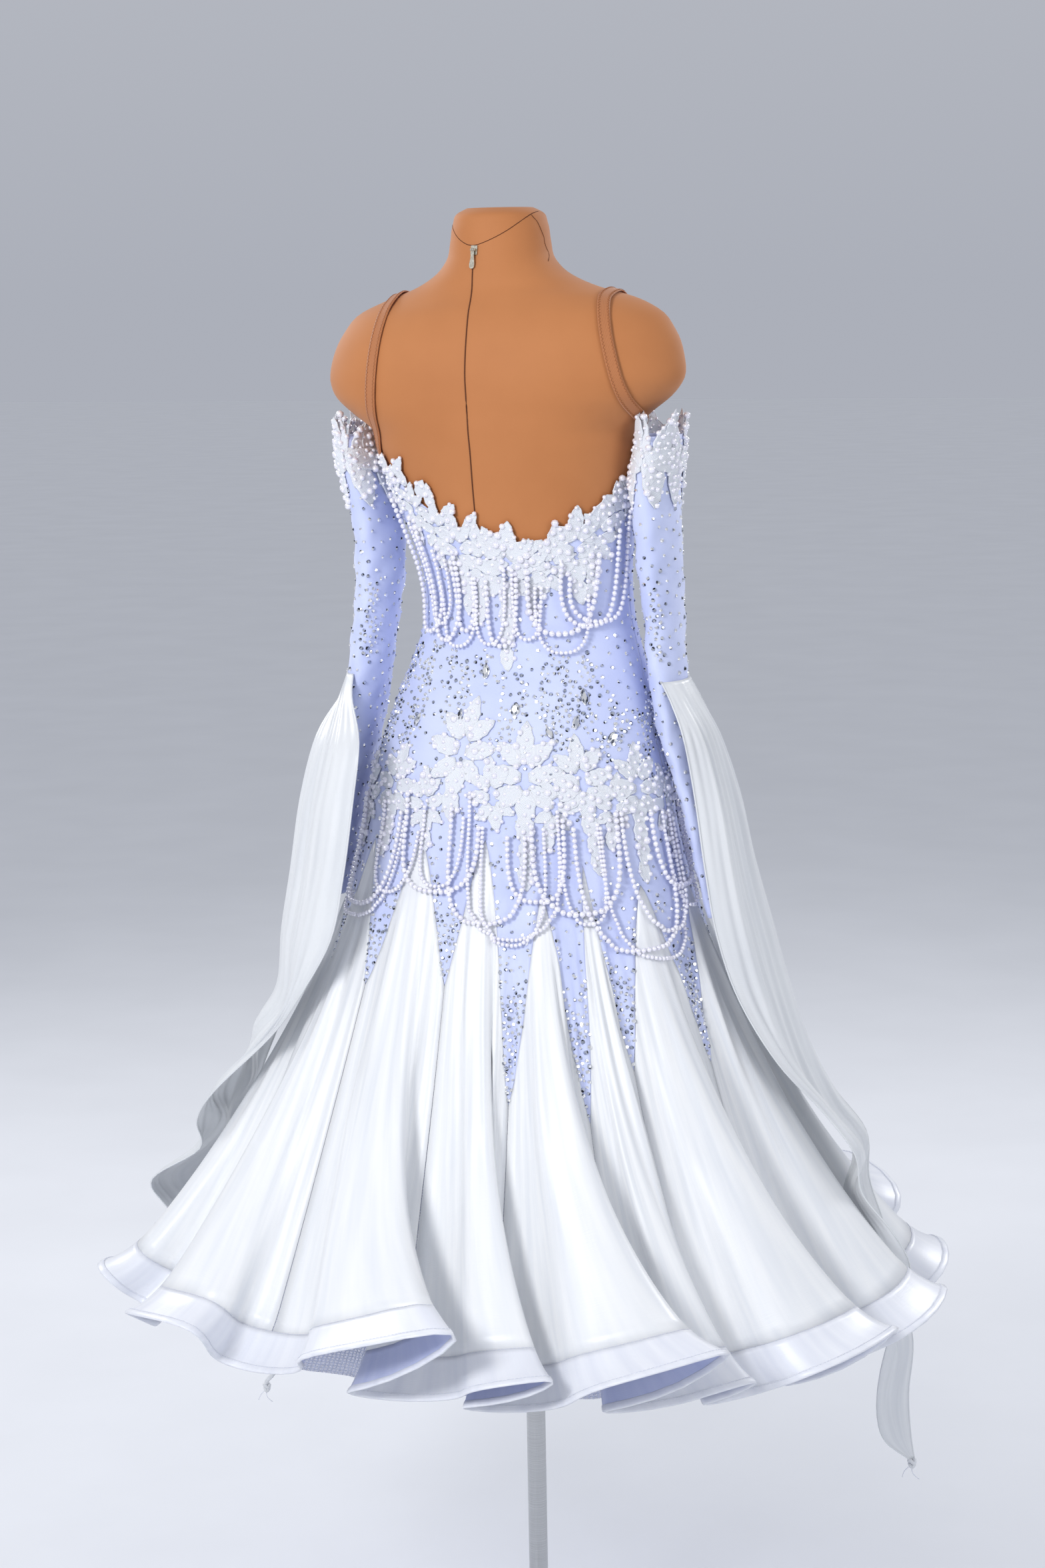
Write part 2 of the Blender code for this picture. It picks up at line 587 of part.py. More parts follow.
def outer_radius(phi, z):
    """The outermost radius of the dress at an angle from VIEW and a height."""
    theta = np.radians(VIEW + np.asarray(phi, float))
    z = np.asarray(z, float)
    a = (np.degrees(theta) % 360) / 2
    a0 = a.astype(int) % 180
    f = a - a.astype(int)
    low = np.clip(((np.maximum(z, 0.475) - 0.40) / 0.01), 0, 68.99)
    h0 = low.astype(int)
    g = low - h0
    at = lambda i, j: ENVELOPE[i % 180, j]
    cell = at(a0, h0) * (1 - f) * (1 - g) + at(a0 + 1, h0) * f * (1 - g)
    cell = cell + at(a0, h0 + 1) * (1 - f) * g + at(a0 + 1, h0 + 1) * f * g
    body = body_radius(theta, np.maximum(z, HIP_Z))
    return np.where(z < HIP_Z - 0.012, np.maximum(cell, 0.10), body)


# Sleeves: empty flattened tubes, open at both ends, with a lace cap round the top.
SLEEVE_COLS = 14


def sleeve_ring(side, z, extra):
    cols = [np.interp(-z, -SLEEVE[:, 0], SLEEVE[:, k]) for k in range(1, 6)]
    x = cols[0] if side > 0 else cols[2]
    half = (cols[1] if side > 0 else cols[3]) + extra
    deep = cols[4] + extra
    a = np.radians(360 / SLEEVE_COLS * np.arange(SLEEVE_COLS))
    fold = 1 + 0.10 * np.cos(3 * a + 2.0 + 9.0 * (1.45 - z))
    px = side * x + half * np.cos(a) * fold
    py = 0.004 + deep * np.sin(a) * (1 + 0.03 * np.sin(14 * z))
    return np.stack([px, py, np.full(SLEEVE_COLS, z)], -1)


def sleeve(name, side):
    rings = [sleeve_ring(side, z, 0.0) for z in SLEEVE[:, 0]]
    grid = np.array(rings).transpose(1, 0, 2)
    sheet(name, grid, "blue_crepe", 0.0012, ring=True)


def sleeve_lace(name, side):
    top_z = SLEEVE[0, 0]
    columns = []
    for i in range(SLEEVE_COLS):
        drop = 0.072 + 0.020 * (i % 2)
        stick = 0.004 * (i % 2)
        column = []
        for z in (top_z + stick, SLEEVE[1, 0], SLEEVE[2, 0], min(SLEEVE[2, 0], top_z) - drop + 0.062):
            base = sleeve_ring(side, min(z, top_z), 0.0021)[i]
            column.append((base[0], base[1], z))
        columns.append(column)
    sheet(name, columns, "white_lace", 0.0012, ring=True)


sleeve("sleeve_left", 1)
sleeve("sleeve_right", -1)
sleeve_lace("lace_cap_left", 1)
sleeve_lace("lace_cap_right", -1)


FLOAT_OFF = 0.0006 + 0.0006 + 0.0005
RIGHT_WAY = np.array([-np.sin(radians(VIEW)), np.cos(radians(VIEW))])
BACK_WAY = np.array([np.cos(radians(VIEW)), np.sin(radians(VIEW))])


def float_panel(name, table, cover_above, side, first, way):
    """A float from its level sections; above cover_above it is kept outside the skirt.

    Its top follows the sleeve's own corners from number first, in the direction way."""
    z = table[:, 0]
    ends = [table[:, k, None] / 1000 * RIGHT_WAY + table[:, k + 1, None] / 1000 * BACK_WAY for k in (1, 3, 5)]
    bend = 2 * ends[1] - (ends[0] + ends[2]) / 2
    grid = []
    for i in range(FLOAT_CELLS + 1):
        u = i / FLOAT_CELLS
        flat = (1 - u) ** 2 * ends[0] + 2 * u * (1 - u) * bend + u ** 2 * ends[2]
        reach = np.hypot(flat[:, 0], flat[:, 1])
        phi = np.degrees(np.arctan2(flat[:, 1], flat[:, 0])) - VIEW
        cover = np.zeros(len(z))
        for shift in (-0.030, -0.015, 0, 0.015, 0.030):
            cover = np.maximum(cover, outer_radius(phi, z + shift))
        wanted = np.where(z > cover_above, np.maximum(reach, cover + 0.007), reach)
        fall = np.clip((1.185 - z) / 0.12, 0, 1) * np.clip((z - 0.30) / 0.2, 0, 1)
        wanted = wanted + 0.0035 * (1 - np.cos(4 * pi * u)) * fall
        flat = flat * (wanted / reach)[:, None]
        ring = sleeve_ring(side, z[0], FLOAT_OFF)[:, :2]
        corner = first + way * i / 2
        low = int(np.floor(corner))
        sewn = ring[low % SLEEVE_COLS] * (1 - corner + low) + ring[(low + 1) % SLEEVE_COLS] * (corner - low)
        flat[0] = sewn
        ring = sleeve_ring(side, z[1], FLOAT_OFF + 0.003)[:, :2]
        sewn = ring[low % SLEEVE_COLS] * (1 - corner + low) + ring[(low + 1) % SLEEVE_COLS] * (corner - low)
        flat[1] = 0.6 * sewn + 0.4 * flat[1]
        level = z + 0.006 * np.cos(2 * pi * u) * fall
        grid.append(np.concatenate([flat, level[:, None]], 1))
    if np.cross(grid[0][3, :2], grid[-1][3, :2]) < 0:
        grid = grid[::-1]
    sheet(name, grid, "white_satin", 0.0010)


float_panel("float_left", FLOAT_LEFT, 0.44, 1, 3, -1)
float_panel("float_right", FLOAT_RIGHT, 0.62, -1, 4, 1)

# Elastic straps over the form's shoulders, made from the form's own face moved out.
STRAP_W = 0.014


def strap(name, side, x_top, x_low, back_z, front_z):
    ridge = np.interp(-(x_top + 0.001), -(FORM[18:25, 1] + side * FORM[18:25, 5]), FORM[18:25, 0])
    own = [z for z in FORM[:, 0] if z < 1.603]
    heights = [(back_z, 1)] + [(z, 1) for z in own if z > back_z + 0.004] + [(ridge, 0)]
    heights = heights + [(z, -1) for z in own[::-1] if z > front_z + 0.004] + [(front_z, -1)]
    line = []
    normal = []
    for z, way in heights:
        f = np.clip((z - back_z) / (1.60 - back_z), 0, 1)
        x = side * (x_low + (x_top - x_low) * f)
        a = radians(1) * np.linspace(0, 90, 361) * way
        a = a if side > 0 else pi - a
        face = form_point(a, np.full(361, z), BUST_FORM)
        pick = int(np.argmin(np.abs(face[:, 0] - x)))
        line.append(face[pick])
        normal.append(form_normal(a[pick], z, BUST_FORM))
    line = np.array(line)
    normal = np.array(normal)
    along = np.gradient(line, axis=0)
    wide = np.cross(normal, along)
    wide = wide / np.linalg.norm(wide, axis=1, keepdims=True) * STRAP_W / 2
    lift = normal * 0.0026
    sheet(name, [line + lift + wide, line + lift - wide], "nude_elastic", 0.0010)


strap("strap_left", 1, 0.131, 0.143, 1.432, 1.452)
strap("strap_right", -1, 0.118, 0.154, 1.470, 1.510)

# Lace on the body, each piece made from the body's own points moved out.
LACE_OUT = BODY_CLOTH / 2 + LACE_GAP + LACE / 2


def lace_piece(name, grid, rows_at, ring=False):
    """rows_at gives, for each column, where its rows lie as fractional row numbers of the body's grid."""
    normals = grid_normals(grid, ring)
    columns = []
    for i in range(len(grid)):
        column = []
        for r in rows_at[i]:
            k = int(np.clip(np.floor(r), 0, grid.shape[1] - 2))
            f = r - k
            p = grid[i, k] * (1 - f) + grid[i, k + 1] * f
            g = min(max(f, 0), 1)
            n = normals[i, k] * (1 - g) + normals[i, k + 1] * g
            lift = LACE_OUT + (0.0008 if 0 < f < 1 else 0.0)
            column.append(p + n / np.linalg.norm(n) * lift)
        columns.append(column)
    return sheet(name, inset(np.array(columns), SEAM * 0.6, 0), "white_lace", LACE, ring)


def neck_lace_rows(cols, phase, low, stick):
    """stick is how far the petals stand above the body's edge, in rows."""
    rows = []
    for i in range(cols):
        crest = 0.10 - stick * (0.0, 0.9, 0.5, 1.0)[(i + phase) % 4]
        lobe = (0.15, 0.75, 0.45, 0.90, 0.30)[(i * 2 + phase) % 5]
        rows.append((crest, 1.0, 2.0, low + lobe))
    return rows


lace_piece("lace_neck_back", back_grid, neck_lace_rows(len(back_grid), 0, 2, 0.30))
lace_piece("lace_neck_front", front_grid, neck_lace_rows(len(front_grid), 2, 2, 0.06))

HIP_ROW = len(BODY_ROWS) - 1


def hip_lace_rows(cols):
    rows = []
    for i in range(cols):
        edge = i % BODY_CELLS == 0
        peak = (0.35, 0.70, 0.15, 0.55, 0.25)[i % 5]
        if edge:
            rows.append((HIP_ROW - 1 - peak, HIP_ROW - 1, HIP_ROW, HIP_ROW + 0.45, HIP_ROW + 0.90))
        else:
            rows.append((HIP_ROW - 1 - peak, HIP_ROW - 1, HIP_ROW, HIP_ROW + 1, HIP_ROW + 1.75))
    return rows


lace_piece("lace_hip_back", back_grid, hip_lace_rows(len(back_grid)))
lace_piece("lace_hip_front", front_grid, hip_lace_rows(len(front_grid)))


def string_of_pearls(name, points, closed=False):
    curve = bpy.data.curves.new(name, "CURVE")
    curve.dimensions = "3D"
    spline = curve.splines.new("POLY")
    spline.points.add(len(points) - 1)
    for i, p in enumerate(points):
        spline.points[i].co = (float(p[0]), float(p[1]), float(p[2]), 1.0)
    spline.use_cyclic_u = closed
    curve.bevel_depth = PEARL_R
    curve.bevel_resolution = 0
    curve.use_fill_caps = not closed
    curve.materials.append(MATS["pearl"])
    obj = bpy.data.objects.new(name, curve)
    parts.objects.link(obj)


for name, (start, end, loops, high, low, held_off, off) in SWAGS.items():
    per = 7
    count = loops * per
    f = np.arange(count + 1) / count
    inside = f * loops - np.floor(f * loops)
    hang = 4 * inside * (1 - inside)
    number = np.minimum(np.floor(f * loops), loops - 1)
    depth = 1 + 0.22 * np.sin(2.3 * number + 1.0)
    z = high - (high - low) * hang ** 0.85 * depth
    phi = start + (end - start) * f
    radius = outer_radius(phi, z)
    for shift in (-3, 3):
        radius = np.maximum(radius, np.where(hang > 0.1, outer_radius(phi + shift, z), 0))
    radius = radius + (held_off + (off - held_off) * np.minimum(hang * 1.6, 1)) / 1000
    theta = np.radians(VIEW + phi)
    string_of_pearls(name, np.stack([radius * np.cos(theta), radius * np.sin(theta), z], -1))

# The form cover's zip: a slider fixed at the nape and a pull tab that swings on it.
ZIP_THETA, ZIP_Z = radians(79.0), 1.654
seat = form_point(ZIP_THETA, ZIP_Z, 0.0)
out = form_normal(ZIP_THETA, ZIP_Z, 0.0)
side_way = np.cross([0.0, 0.0, 1.0], out)
side_way = side_way / np.linalg.norm(side_way)
up_way = np.cross(out, side_way)
BAR_R, BAR_OFF = 0.0006, 0.0033


def zip_place(across, up, off):
    return seat + side_way * across + up_way * up + out * off


def block(name, boxes, material):
    """Boxes in the zip's own frame as one object: low and high corners as (across, up, off)."""
    verts = []
    faces = []
    for low, high in boxes:
        first = len(verts)
        for a in (low[0], high[0]):
            for b in (low[1], high[1]):
                for c in (low[2], high[2]):
                    verts.append(zip_place(a, b, c))
        for q in ((0, 1, 3, 2), (4, 6, 7, 5), (0, 4, 5, 1), (2, 3, 7, 6), (0, 2, 6, 4), (1, 5, 7, 3)):
            faces.append(tuple(first + n for n in q))
    return mesh_object(name, verts, faces, material)


def rod(name, radius, half, material):
    """A round rod on the pull tab's turning axis."""
    sides = 24
    verts = []
    for a in (-half, half):
        for i in range(sides):
            turn = 2 * pi * (i + 0.5) / sides
            verts.append(zip_place(a, radius * np.cos(turn), BAR_OFF + radius * np.sin(turn)))
    faces = [tuple(range(sides))[::-1], tuple(range(sides, 2 * sides))]
    for i in range(sides):
        j = (i + 1) % sides
        faces.append((i, j, sides + j, sides + i))
    return mesh_object(name, verts, faces, material)


def join_by_boolean(base, other):
    mod = base.modifiers.new("join", "BOOLEAN")
    mod.operation = "UNION"
    mod.solver = "EXACT"
    mod.object = other
    other.hide_render = True
    other.display_type = "WIRE"
    parts.objects.unlink(other)
    cutters.objects.link(other)


cutters = bpy.data.collections.new("helpers")
bpy.context.scene.collection.children.link(cutters)

slider = block("zip_slider", [((-0.0040, -0.0050, 0.0003), (0.0040, 0.0050, 0.0014))], "zip_metal")
ears = block("zip_ears", [
    ((-0.0030, -0.0012, 0.0010), (-0.0020, 0.0012, 0.0044)), ((0.0020, -0.0012, 0.0010), (0.0030, 0.0012, 0.0044)),
], "zip_metal")
bar = rod("zip_bar", BAR_R, 0.0025, "zip_metal")
join_by_boolean(slider, ears)
join_by_boolean(slider, bar)

# The tab is a flat drop shape whose round head turns on the bar.
TAB_T, HEAD_R, HEAD_HALF, EYE_R = 0.0010, 0.0016, 0.0016, 0.0009
# columns: distance down from the bar, half width
TAB = ((0.0, 0.0014), (0.0030, 0.0016), (0.0090, 0.0021), (0.0150, 0.0031), (0.0185, 0.0030), (0.0205, 0.0017))
verts = []
for down, half in TAB:
    for a, c in ((-half, -TAB_T / 2), (half, -TAB_T / 2), (half, TAB_T / 2), (-half, TAB_T / 2)):
        verts.append(zip_place(a, -down, BAR_OFF + c))
faces = [(3, 2, 1, 0)]
for r in range(len(TAB) - 1):
    for c in range(4):
        d = (c + 1) % 4
        faces.append((4 * r + c, 4 * r + d, 4 * r + 4 + d, 4 * r + 4 + c))
last = 4 * (len(TAB) - 1)
faces.append((last, last + 1, last + 2, last + 3))
pull = mesh_object("zip_pull", verts, faces, "zip_metal")
head = rod("zip_head", HEAD_R, HEAD_HALF, "zip_metal")
join_by_boolean(pull, head)
eye = rod("zip_eye", EYE_R, 0.004, "zip_metal")
mod = pull.modifiers.new("eye", "BOOLEAN")
mod.operation = "DIFFERENCE"
mod.solver = "EXACT"
mod.object = eye
eye.hide_render = True
eye.display_type = "WIRE"
parts.objects.unlink(eye)
cutters.objects.link(eye)
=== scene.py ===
# %% [markdown]
# # A ballroom dress on its limbless dress form
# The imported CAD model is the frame. In it, each cloth piece is a plain wall with the right outline.
# Here each of them is made again with finer folds, and then come lace, crystals and pearls.
# Lengths are in metres, unless a name says mm. Angles called phi are in degrees, counted round
# the dress from the line that faces the camera, and they grow towards the right of the picture.

# %% Load the frame
import json
from math import pi, radians

import bpy
import numpy as np
from mathutils import Matrix

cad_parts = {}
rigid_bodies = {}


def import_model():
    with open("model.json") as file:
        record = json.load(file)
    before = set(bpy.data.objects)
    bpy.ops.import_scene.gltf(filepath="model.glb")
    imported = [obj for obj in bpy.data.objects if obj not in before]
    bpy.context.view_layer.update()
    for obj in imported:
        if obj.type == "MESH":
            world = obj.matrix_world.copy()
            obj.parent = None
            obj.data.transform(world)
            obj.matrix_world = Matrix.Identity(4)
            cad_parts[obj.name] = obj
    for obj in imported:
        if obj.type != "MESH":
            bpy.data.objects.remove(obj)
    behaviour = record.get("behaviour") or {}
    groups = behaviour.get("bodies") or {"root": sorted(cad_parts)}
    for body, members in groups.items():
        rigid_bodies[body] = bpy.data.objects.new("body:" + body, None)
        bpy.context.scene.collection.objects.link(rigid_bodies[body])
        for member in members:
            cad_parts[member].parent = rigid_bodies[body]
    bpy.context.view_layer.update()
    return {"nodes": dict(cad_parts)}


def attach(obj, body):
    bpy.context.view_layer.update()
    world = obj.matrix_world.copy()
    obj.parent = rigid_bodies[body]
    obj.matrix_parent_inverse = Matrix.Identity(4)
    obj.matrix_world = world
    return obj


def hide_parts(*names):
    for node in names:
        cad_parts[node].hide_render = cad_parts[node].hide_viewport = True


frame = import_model()
BODY = "dress_on_form"
scene = bpy.context.scene
print(len(frame["nodes"]), "solids in the frame")

# %% [markdown]
# ## Camera
# The photograph was taken behind the dress, a little to its right, from shoulder height and 3.5 m
# away. The lens sees 28 degrees from top to bottom, which is a 72 mm lens on a 36 mm tall sensor.

# %% Camera
turn, dip, roll = radians(200), radians(9), radians(1)
away = np.array([np.sin(turn), -np.cos(turn), 0.0])
level = -away
ahead = level * np.cos(dip) - np.array([0, 0, np.sin(dip)])
across = np.cross(level, [0, 0, 1.0])
above = np.cross(across, ahead)
right = across * np.cos(roll) - above * np.sin(roll)
above = across * np.sin(roll) + above * np.cos(roll)
camera = bpy.data.objects.new("camera", bpy.data.cameras.new("camera"))
camera.data.lens = 71.94
camera.data.shift_x = -0.0016
scene.collection.objects.link(camera)
scene.camera = camera
spot = away * 3.5 + np.array([0, 0, 1.613])
camera.matrix_world = Matrix([(*row, place) for row, place in zip(np.array([right, above, -ahead]).T, spot)] + [(0, 0, 0, 1)])
print("camera stands at", spot.round(3))

# %% [markdown]
# ## Materials
# Colours are written as the sRGB hex values that one would read from a picture, and one function
# turns them to the linear values that the sockets take. One more function adds a node.


# %% Colour and node helpers
def colour(code):
    """An sRGB hex colour as linear red, green, blue and alpha."""
    parts = [int(code[i:i + 2], 16) / 255 for i in (0, 2, 4)]
    return (*[c / 12.92 if c <= 0.04045 else ((c + 0.055) / 1.055) ** 2.4 for c in parts], 1.0)


def add(tree, kind, inputs=None, **settings):
    """Adds a node. An input's value is a number, a colour or the socket that it is linked to."""
    node = tree.nodes.new(kind)
    for name, value in settings.items():
        setattr(node, name, value)
    for name, value in (inputs or {}).items():
        if isinstance(value, bpy.types.NodeSocket):
            tree.links.new(value, node.inputs[name])
        else:
            node.inputs[name].default_value = value
    return node


def finish_of(name, **values):
    """A new material with one Principled BSDF. Returns the material, its tree and its shader."""
    mat = bpy.data.materials.new(name)
    mat.use_nodes = True
    shader = mat.node_tree.nodes["Principled BSDF"]
    for key, value in values.items():
        shader.inputs[key.replace("_", " ").title().replace("Ior", "IOR")].default_value = value
    return mat, mat.node_tree, shader


def ramp(tree, fac, stops):
    """A colour ramp from (position, hex colour) stops."""
    node = add(tree, "ShaderNodeValToRGB", {"Fac": fac})
    while len(node.color_ramp.elements) < len(stops):
        node.color_ramp.elements.new(0.5)
    for element, (place, code) in zip(node.color_ramp.elements, stops):
        element.position = place
        element.color = colour(code)
    return node.outputs["Color"]


def bump(tree, shader, height, depth_mm, strength=1.0):
    """Raises the surface by a height pattern that runs from 0 to 1."""
    node = add(tree, "ShaderNodeBump", {"Height": height, "Distance": depth_mm / 1000, "Strength": strength})
    tree.links.new(node.outputs["Normal"], shader.inputs["Normal"])


# %% [markdown]
# ### Cloth finishes
# Crepe is woven from hard-twisted yarn, so its face is a fine irregular pebble with almost no shine.
# Satin has long floats of yarn, so it shines along one way and looks pale where it turns away.


# %% Crepe
def crepe(name, light, deep):
    """Crepe: a matt cloth with a fine pebble and a slight change of tone over a hand's breadth."""
    mat, tree, shader = finish_of(name, roughness=0.72, sheen_weight=0.35, sheen_roughness=0.4)
    place = add(tree, "ShaderNodeTexCoord").outputs["Object"]
    slow = add(tree, "ShaderNodeTexNoise", {"Vector": place, "Scale": 14.0, "Detail": 2.0})
    tree.links.new(ramp(tree, slow.outputs["Fac"], [(0.35, deep), (0.65, light)]), shader.inputs["Base Color"])
    pebble = add(tree, "ShaderNodeTexNoise", {"Vector": place, "Scale": 900.0, "Detail": 2.0})
    bump(tree, shader, pebble.outputs["Fac"], 0.25, 0.5)
    return mat


BLUE_CREPE = crepe("lavender_crepe", "CED6F6", "C3CCF2")


# %% Satin
def satin(name, light, deep, rough=0.38, alpha=1.0):
    """Satin: slow streaks along the drop, and the fine rib of the weave across it.

    The UV map is in metres, across the cloth and down it. A rib of 1.2 mm is coarser than the
    real weave of 0.2 mm, which would not show."""
    mat, tree, shader = finish_of(name, roughness=rough, sheen_weight=0.25, anisotropic=0.4, alpha=alpha)
    drop = add(tree, "ShaderNodeUVMap", uv_map="cloth").outputs["UV"]
    long = add(tree, "ShaderNodeMapping", {"Vector": drop, "Scale": (60.0, 5.0, 1.0)})
    streak = add(tree, "ShaderNodeTexNoise", {"Vector": long.outputs["Vector"], "Scale": 1.0, "Detail": 3.0})
    tree.links.new(ramp(tree, streak.outputs["Fac"], [(0.3, deep), (0.7, light)]), shader.inputs["Base Color"])
    fine = add(tree, "ShaderNodeMapping", {"Vector": drop, "Scale": (90.0, 800.0, 1.0)})
    rib = add(tree, "ShaderNodeTexNoise", {"Vector": fine.outputs["Vector"], "Scale": 1.0, "Detail": 2.0})
    both = add(tree, "ShaderNodeMath", {0: streak.outputs["Fac"], 1: 2.0}, operation="MULTIPLY")
    both = add(tree, "ShaderNodeMath", {0: rib.outputs["Fac"], 1: both.outputs[0]}, operation="ADD")
    bump(tree, shader, both.outputs[0], 0.35, 0.35)
    return mat


WHITE_SATIN = satin("cool_white_satin", "F0F1F2", "E0E3E8")
HEM_SATIN = satin("hem_band_satin", "EAECF2", "DCDFE9", 0.36)
FLOAT_SATIN = satin("float_satin_semi_sheer", "ECEEF0", "DFE2E6", 0.36, 0.9)
HEM_FACING = satin("hem_facing_mesh", "CFD5F0", "BFC7E8", 0.6)

# %% [markdown]
# ## The shapes that the frame was made from
# The CAD source gives the form, the skirt's waves and the sleeves as short tables. The same tables
# and rules are repeated here, because the finer cloth has to lie where the frame's walls lie.
# Between two rows of a table the curve is smooth here, where the frame runs straight.

# %% Sizes and tables
BODY_GAP, CREPE, CLOTH = 0.0020, 0.0012, 0.0011
HIP_Z, SLANT, BAND, VIEW, OPENING = 1.045, 0.645, 0.050, 110.0, 0.75
BUST_X, BUST_Z, BUST_WIDE, BUST_FORM, BUST_DRESS = 0.072, 1.392, 0.044, 0.012, 0.021

# columns: z, half_width, y_front, y_back, y_side, centre_x, power
FORM = np.array([
    (0.930, 0.147, -0.080, 0.098, 0.010, 0.000, 2.20), (0.965, 0.161, -0.093, 0.113, 0.010, 0.000, 2.20),
    (1.005, 0.169, -0.099, 0.122, 0.010, 0.000, 2.20), (1.045, 0.172, -0.102, 0.127, 0.010, 0.000, 2.20),
    (1.085, 0.166, -0.102, 0.122, 0.008, 0.000, 2.20), (1.125, 0.154, -0.100, 0.110, 0.006, -0.001, 2.20),
    (1.165, 0.143, -0.096, 0.096, 0.004, -0.004, 2.15), (1.200, 0.132, -0.090, 0.085, 0.002, -0.007, 2.10),
    (1.235, 0.121, -0.084, 0.078, 0.000, -0.009, 2.10), (1.270, 0.116, -0.081, 0.076, 0.000, -0.009, 2.10),
    (1.305, 0.117, -0.084, 0.080, 0.000, -0.007, 2.15), (1.340, 0.123, -0.092, 0.087, 0.000, -0.002, 2.20),
    (1.375, 0.131, -0.099, 0.096, 0.002, 0.003, 2.20), (1.410, 0.140, -0.101, 0.104, 0.004, 0.008, 2.20),
    (1.440, 0.146, -0.097, 0.110, 0.008, 0.011, 2.20), (1.460, 0.151, -0.092, 0.114, 0.012, 0.013, 2.10),
    (1.478, 0.174, -0.089, 0.115, 0.014, 0.015, 2.00), (1.494, 0.194, -0.086, 0.116, 0.016, 0.013, 1.95),
    (1.514, 0.206, -0.083, 0.116, 0.018, 0.009, 1.90), (1.540, 0.204, -0.076, 0.112, 0.018, 0.007, 1.85),
    (1.566, 0.193, -0.066, 0.104, 0.018, 0.005, 1.80), (1.589, 0.172, -0.058, 0.092, 0.016, 0.004, 1.70),
    (1.602, 0.143, -0.053, 0.082, 0.014, 0.003, 1.65), (1.613, 0.108, -0.050, 0.075, 0.012, 0.008, 1.70),
    (1.626, 0.080, -0.048, 0.070, 0.010, 0.012, 1.85), (1.643, 0.0615, -0.045, 0.064, 0.009, 0.014, 2.00),
    (1.664, 0.0560, -0.043, 0.060, 0.008, 0.0145, 2.00), (1.684, 0.0525, -0.041, 0.057, 0.008, 0.0145, 2.00),
    (1.695, 0.0470, -0.035, 0.051, 0.008, 0.0145, 2.00), (1.700, 0.0370, -0.025, 0.041, 0.008, 0.0145, 2.00),
])

# columns: seam_phi_hip, seam_phi_hem, wave_mm, lean_deg, pinch_deg, hem_radius_mm, spike_mm, apex_mm
WAVES = np.array([
    (-112, -104, 30, 4, 2, 458, 200, 45), (-86, -75, 30, 0, 3, 460, 190, 40), (-58, -40, 40, 10, 6, 440, 200, 30),
    (-30, -14, 26, 6, 3, 415, 190, 28), (-11, 0, 48, 9, 5, 425, 315, 85), (7, 21, 17, 3, 1, 412, 335, 55),
    (22, 33, 44, 7, 5, 425, 280, 80), (54, 54, 40, 7, 5, 428, 285, 60), (80, 76, 38, 4, 3, 432, 230, 40),
    (104, 102, 42, 6, 5, 440, 240, 55), (132, 131, 44, 7, 5, 440, 255, 45), (160, 163, 44, 7, 5, 440, 230, 60),
    (190, 199, 44, 7, 5, 440, 250, 50), (220, 233, 32, 4, 2, 440, 220, 45),
], float)
COUNT = len(WAVES)

# columns: phi, z
NECKLINE = np.array([
    (-110, 1.425), (-78, 1.422), (-55, 1.381), (-41, 1.362), (-32, 1.350), (-18, 1.341), (8, 1.334), (22, 1.345),
    (38, 1.368), (50, 1.380), (70, 1.397), (92, 1.420), (122, 1.450), (160, 1.428), (198, 1.450), (228, 1.430),
    (250, 1.425),
])


# %% The form and the skirt as functions
def smooth(x, xs, ys):
    """Reads a table smoothly: a cubic between each two rows, with the slopes of their neighbours."""
    slope = np.gradient(ys, xs)
    x = np.clip(x, xs[0], xs[-1])
    k = np.clip(np.searchsorted(xs, x, side="right") - 1, 0, len(xs) - 2)
    h = xs[k + 1] - xs[k]
    f = (x - xs[k]) / h
    rise = ys[k + 1] - ys[k]
    limit = 3 * np.abs(rise)
    m0 = np.clip(slope[k] * h, -limit, limit)
    m1 = np.clip(slope[k + 1] * h, -limit, limit)
    return ys[k] + f * m0 + f ** 2 * (3 * rise - 2 * m0 - m1) + f ** 3 * (m0 + m1 - 2 * rise)


def form_point(theta, z, bust):
    """A point of the form's face at parameter theta (radians) and height z."""
    half, front, back, side, centre, power = [smooth(z, FORM[:, 0], FORM[:, k]) for k in range(1, 7)]
    c, s = np.cos(theta), np.sin(theta)
    x = half * np.sign(c) * np.abs(c) ** (2 / power)
    y = side + np.where(s > 0, back - side, side - front) * np.sign(s) * np.abs(s) ** (2 / power)
    far = (np.abs(x) - BUST_X) ** 2 + (z - BUST_Z) ** 2
    y = y - bust * np.exp(-far / (2 * BUST_WIDE ** 2)) * np.clip(-s, 0, 1)
    return np.stack([x + centre, y, z + 0 * c], -1)


def unit(v):
    return v / np.maximum(np.linalg.norm(v, axis=-1, keepdims=True), 1e-9)


def form_normal(theta, z, bust):
    step = 0.002
    along = form_point(theta + step, z, bust) - form_point(theta - step, z, bust)
    return unit(np.cross(along, form_point(theta, z + step, bust) - form_point(theta, z - step, bust)))


def seam_angle(column, t):
    """The angle of the line t round the skirt. Whole numbers are the seams of the table."""
    seams = WAVES[:, column]
    ring = np.concatenate([seams[-3:] - 360, seams, seams[:5] + 360])
    k = np.floor(t).astype(int)
    f = t - k
    p0, p1, p2, p3 = (ring[k + 3 + d] for d in (-1, 0, 1, 2))
    m1 = np.minimum((p2 - p0) / 2, 2.2 * (p2 - p1))
    m2 = np.minimum((p3 - p1) / 2, 2.2 * (p2 - p1))
    return (2 * f ** 3 - 3 * f ** 2 + 1) * p1 + (f ** 3 - 2 * f ** 2 + f) * m1 + (3 * f ** 2 - 2 * f ** 3) * p2 + (f ** 3 - f ** 2) * m2


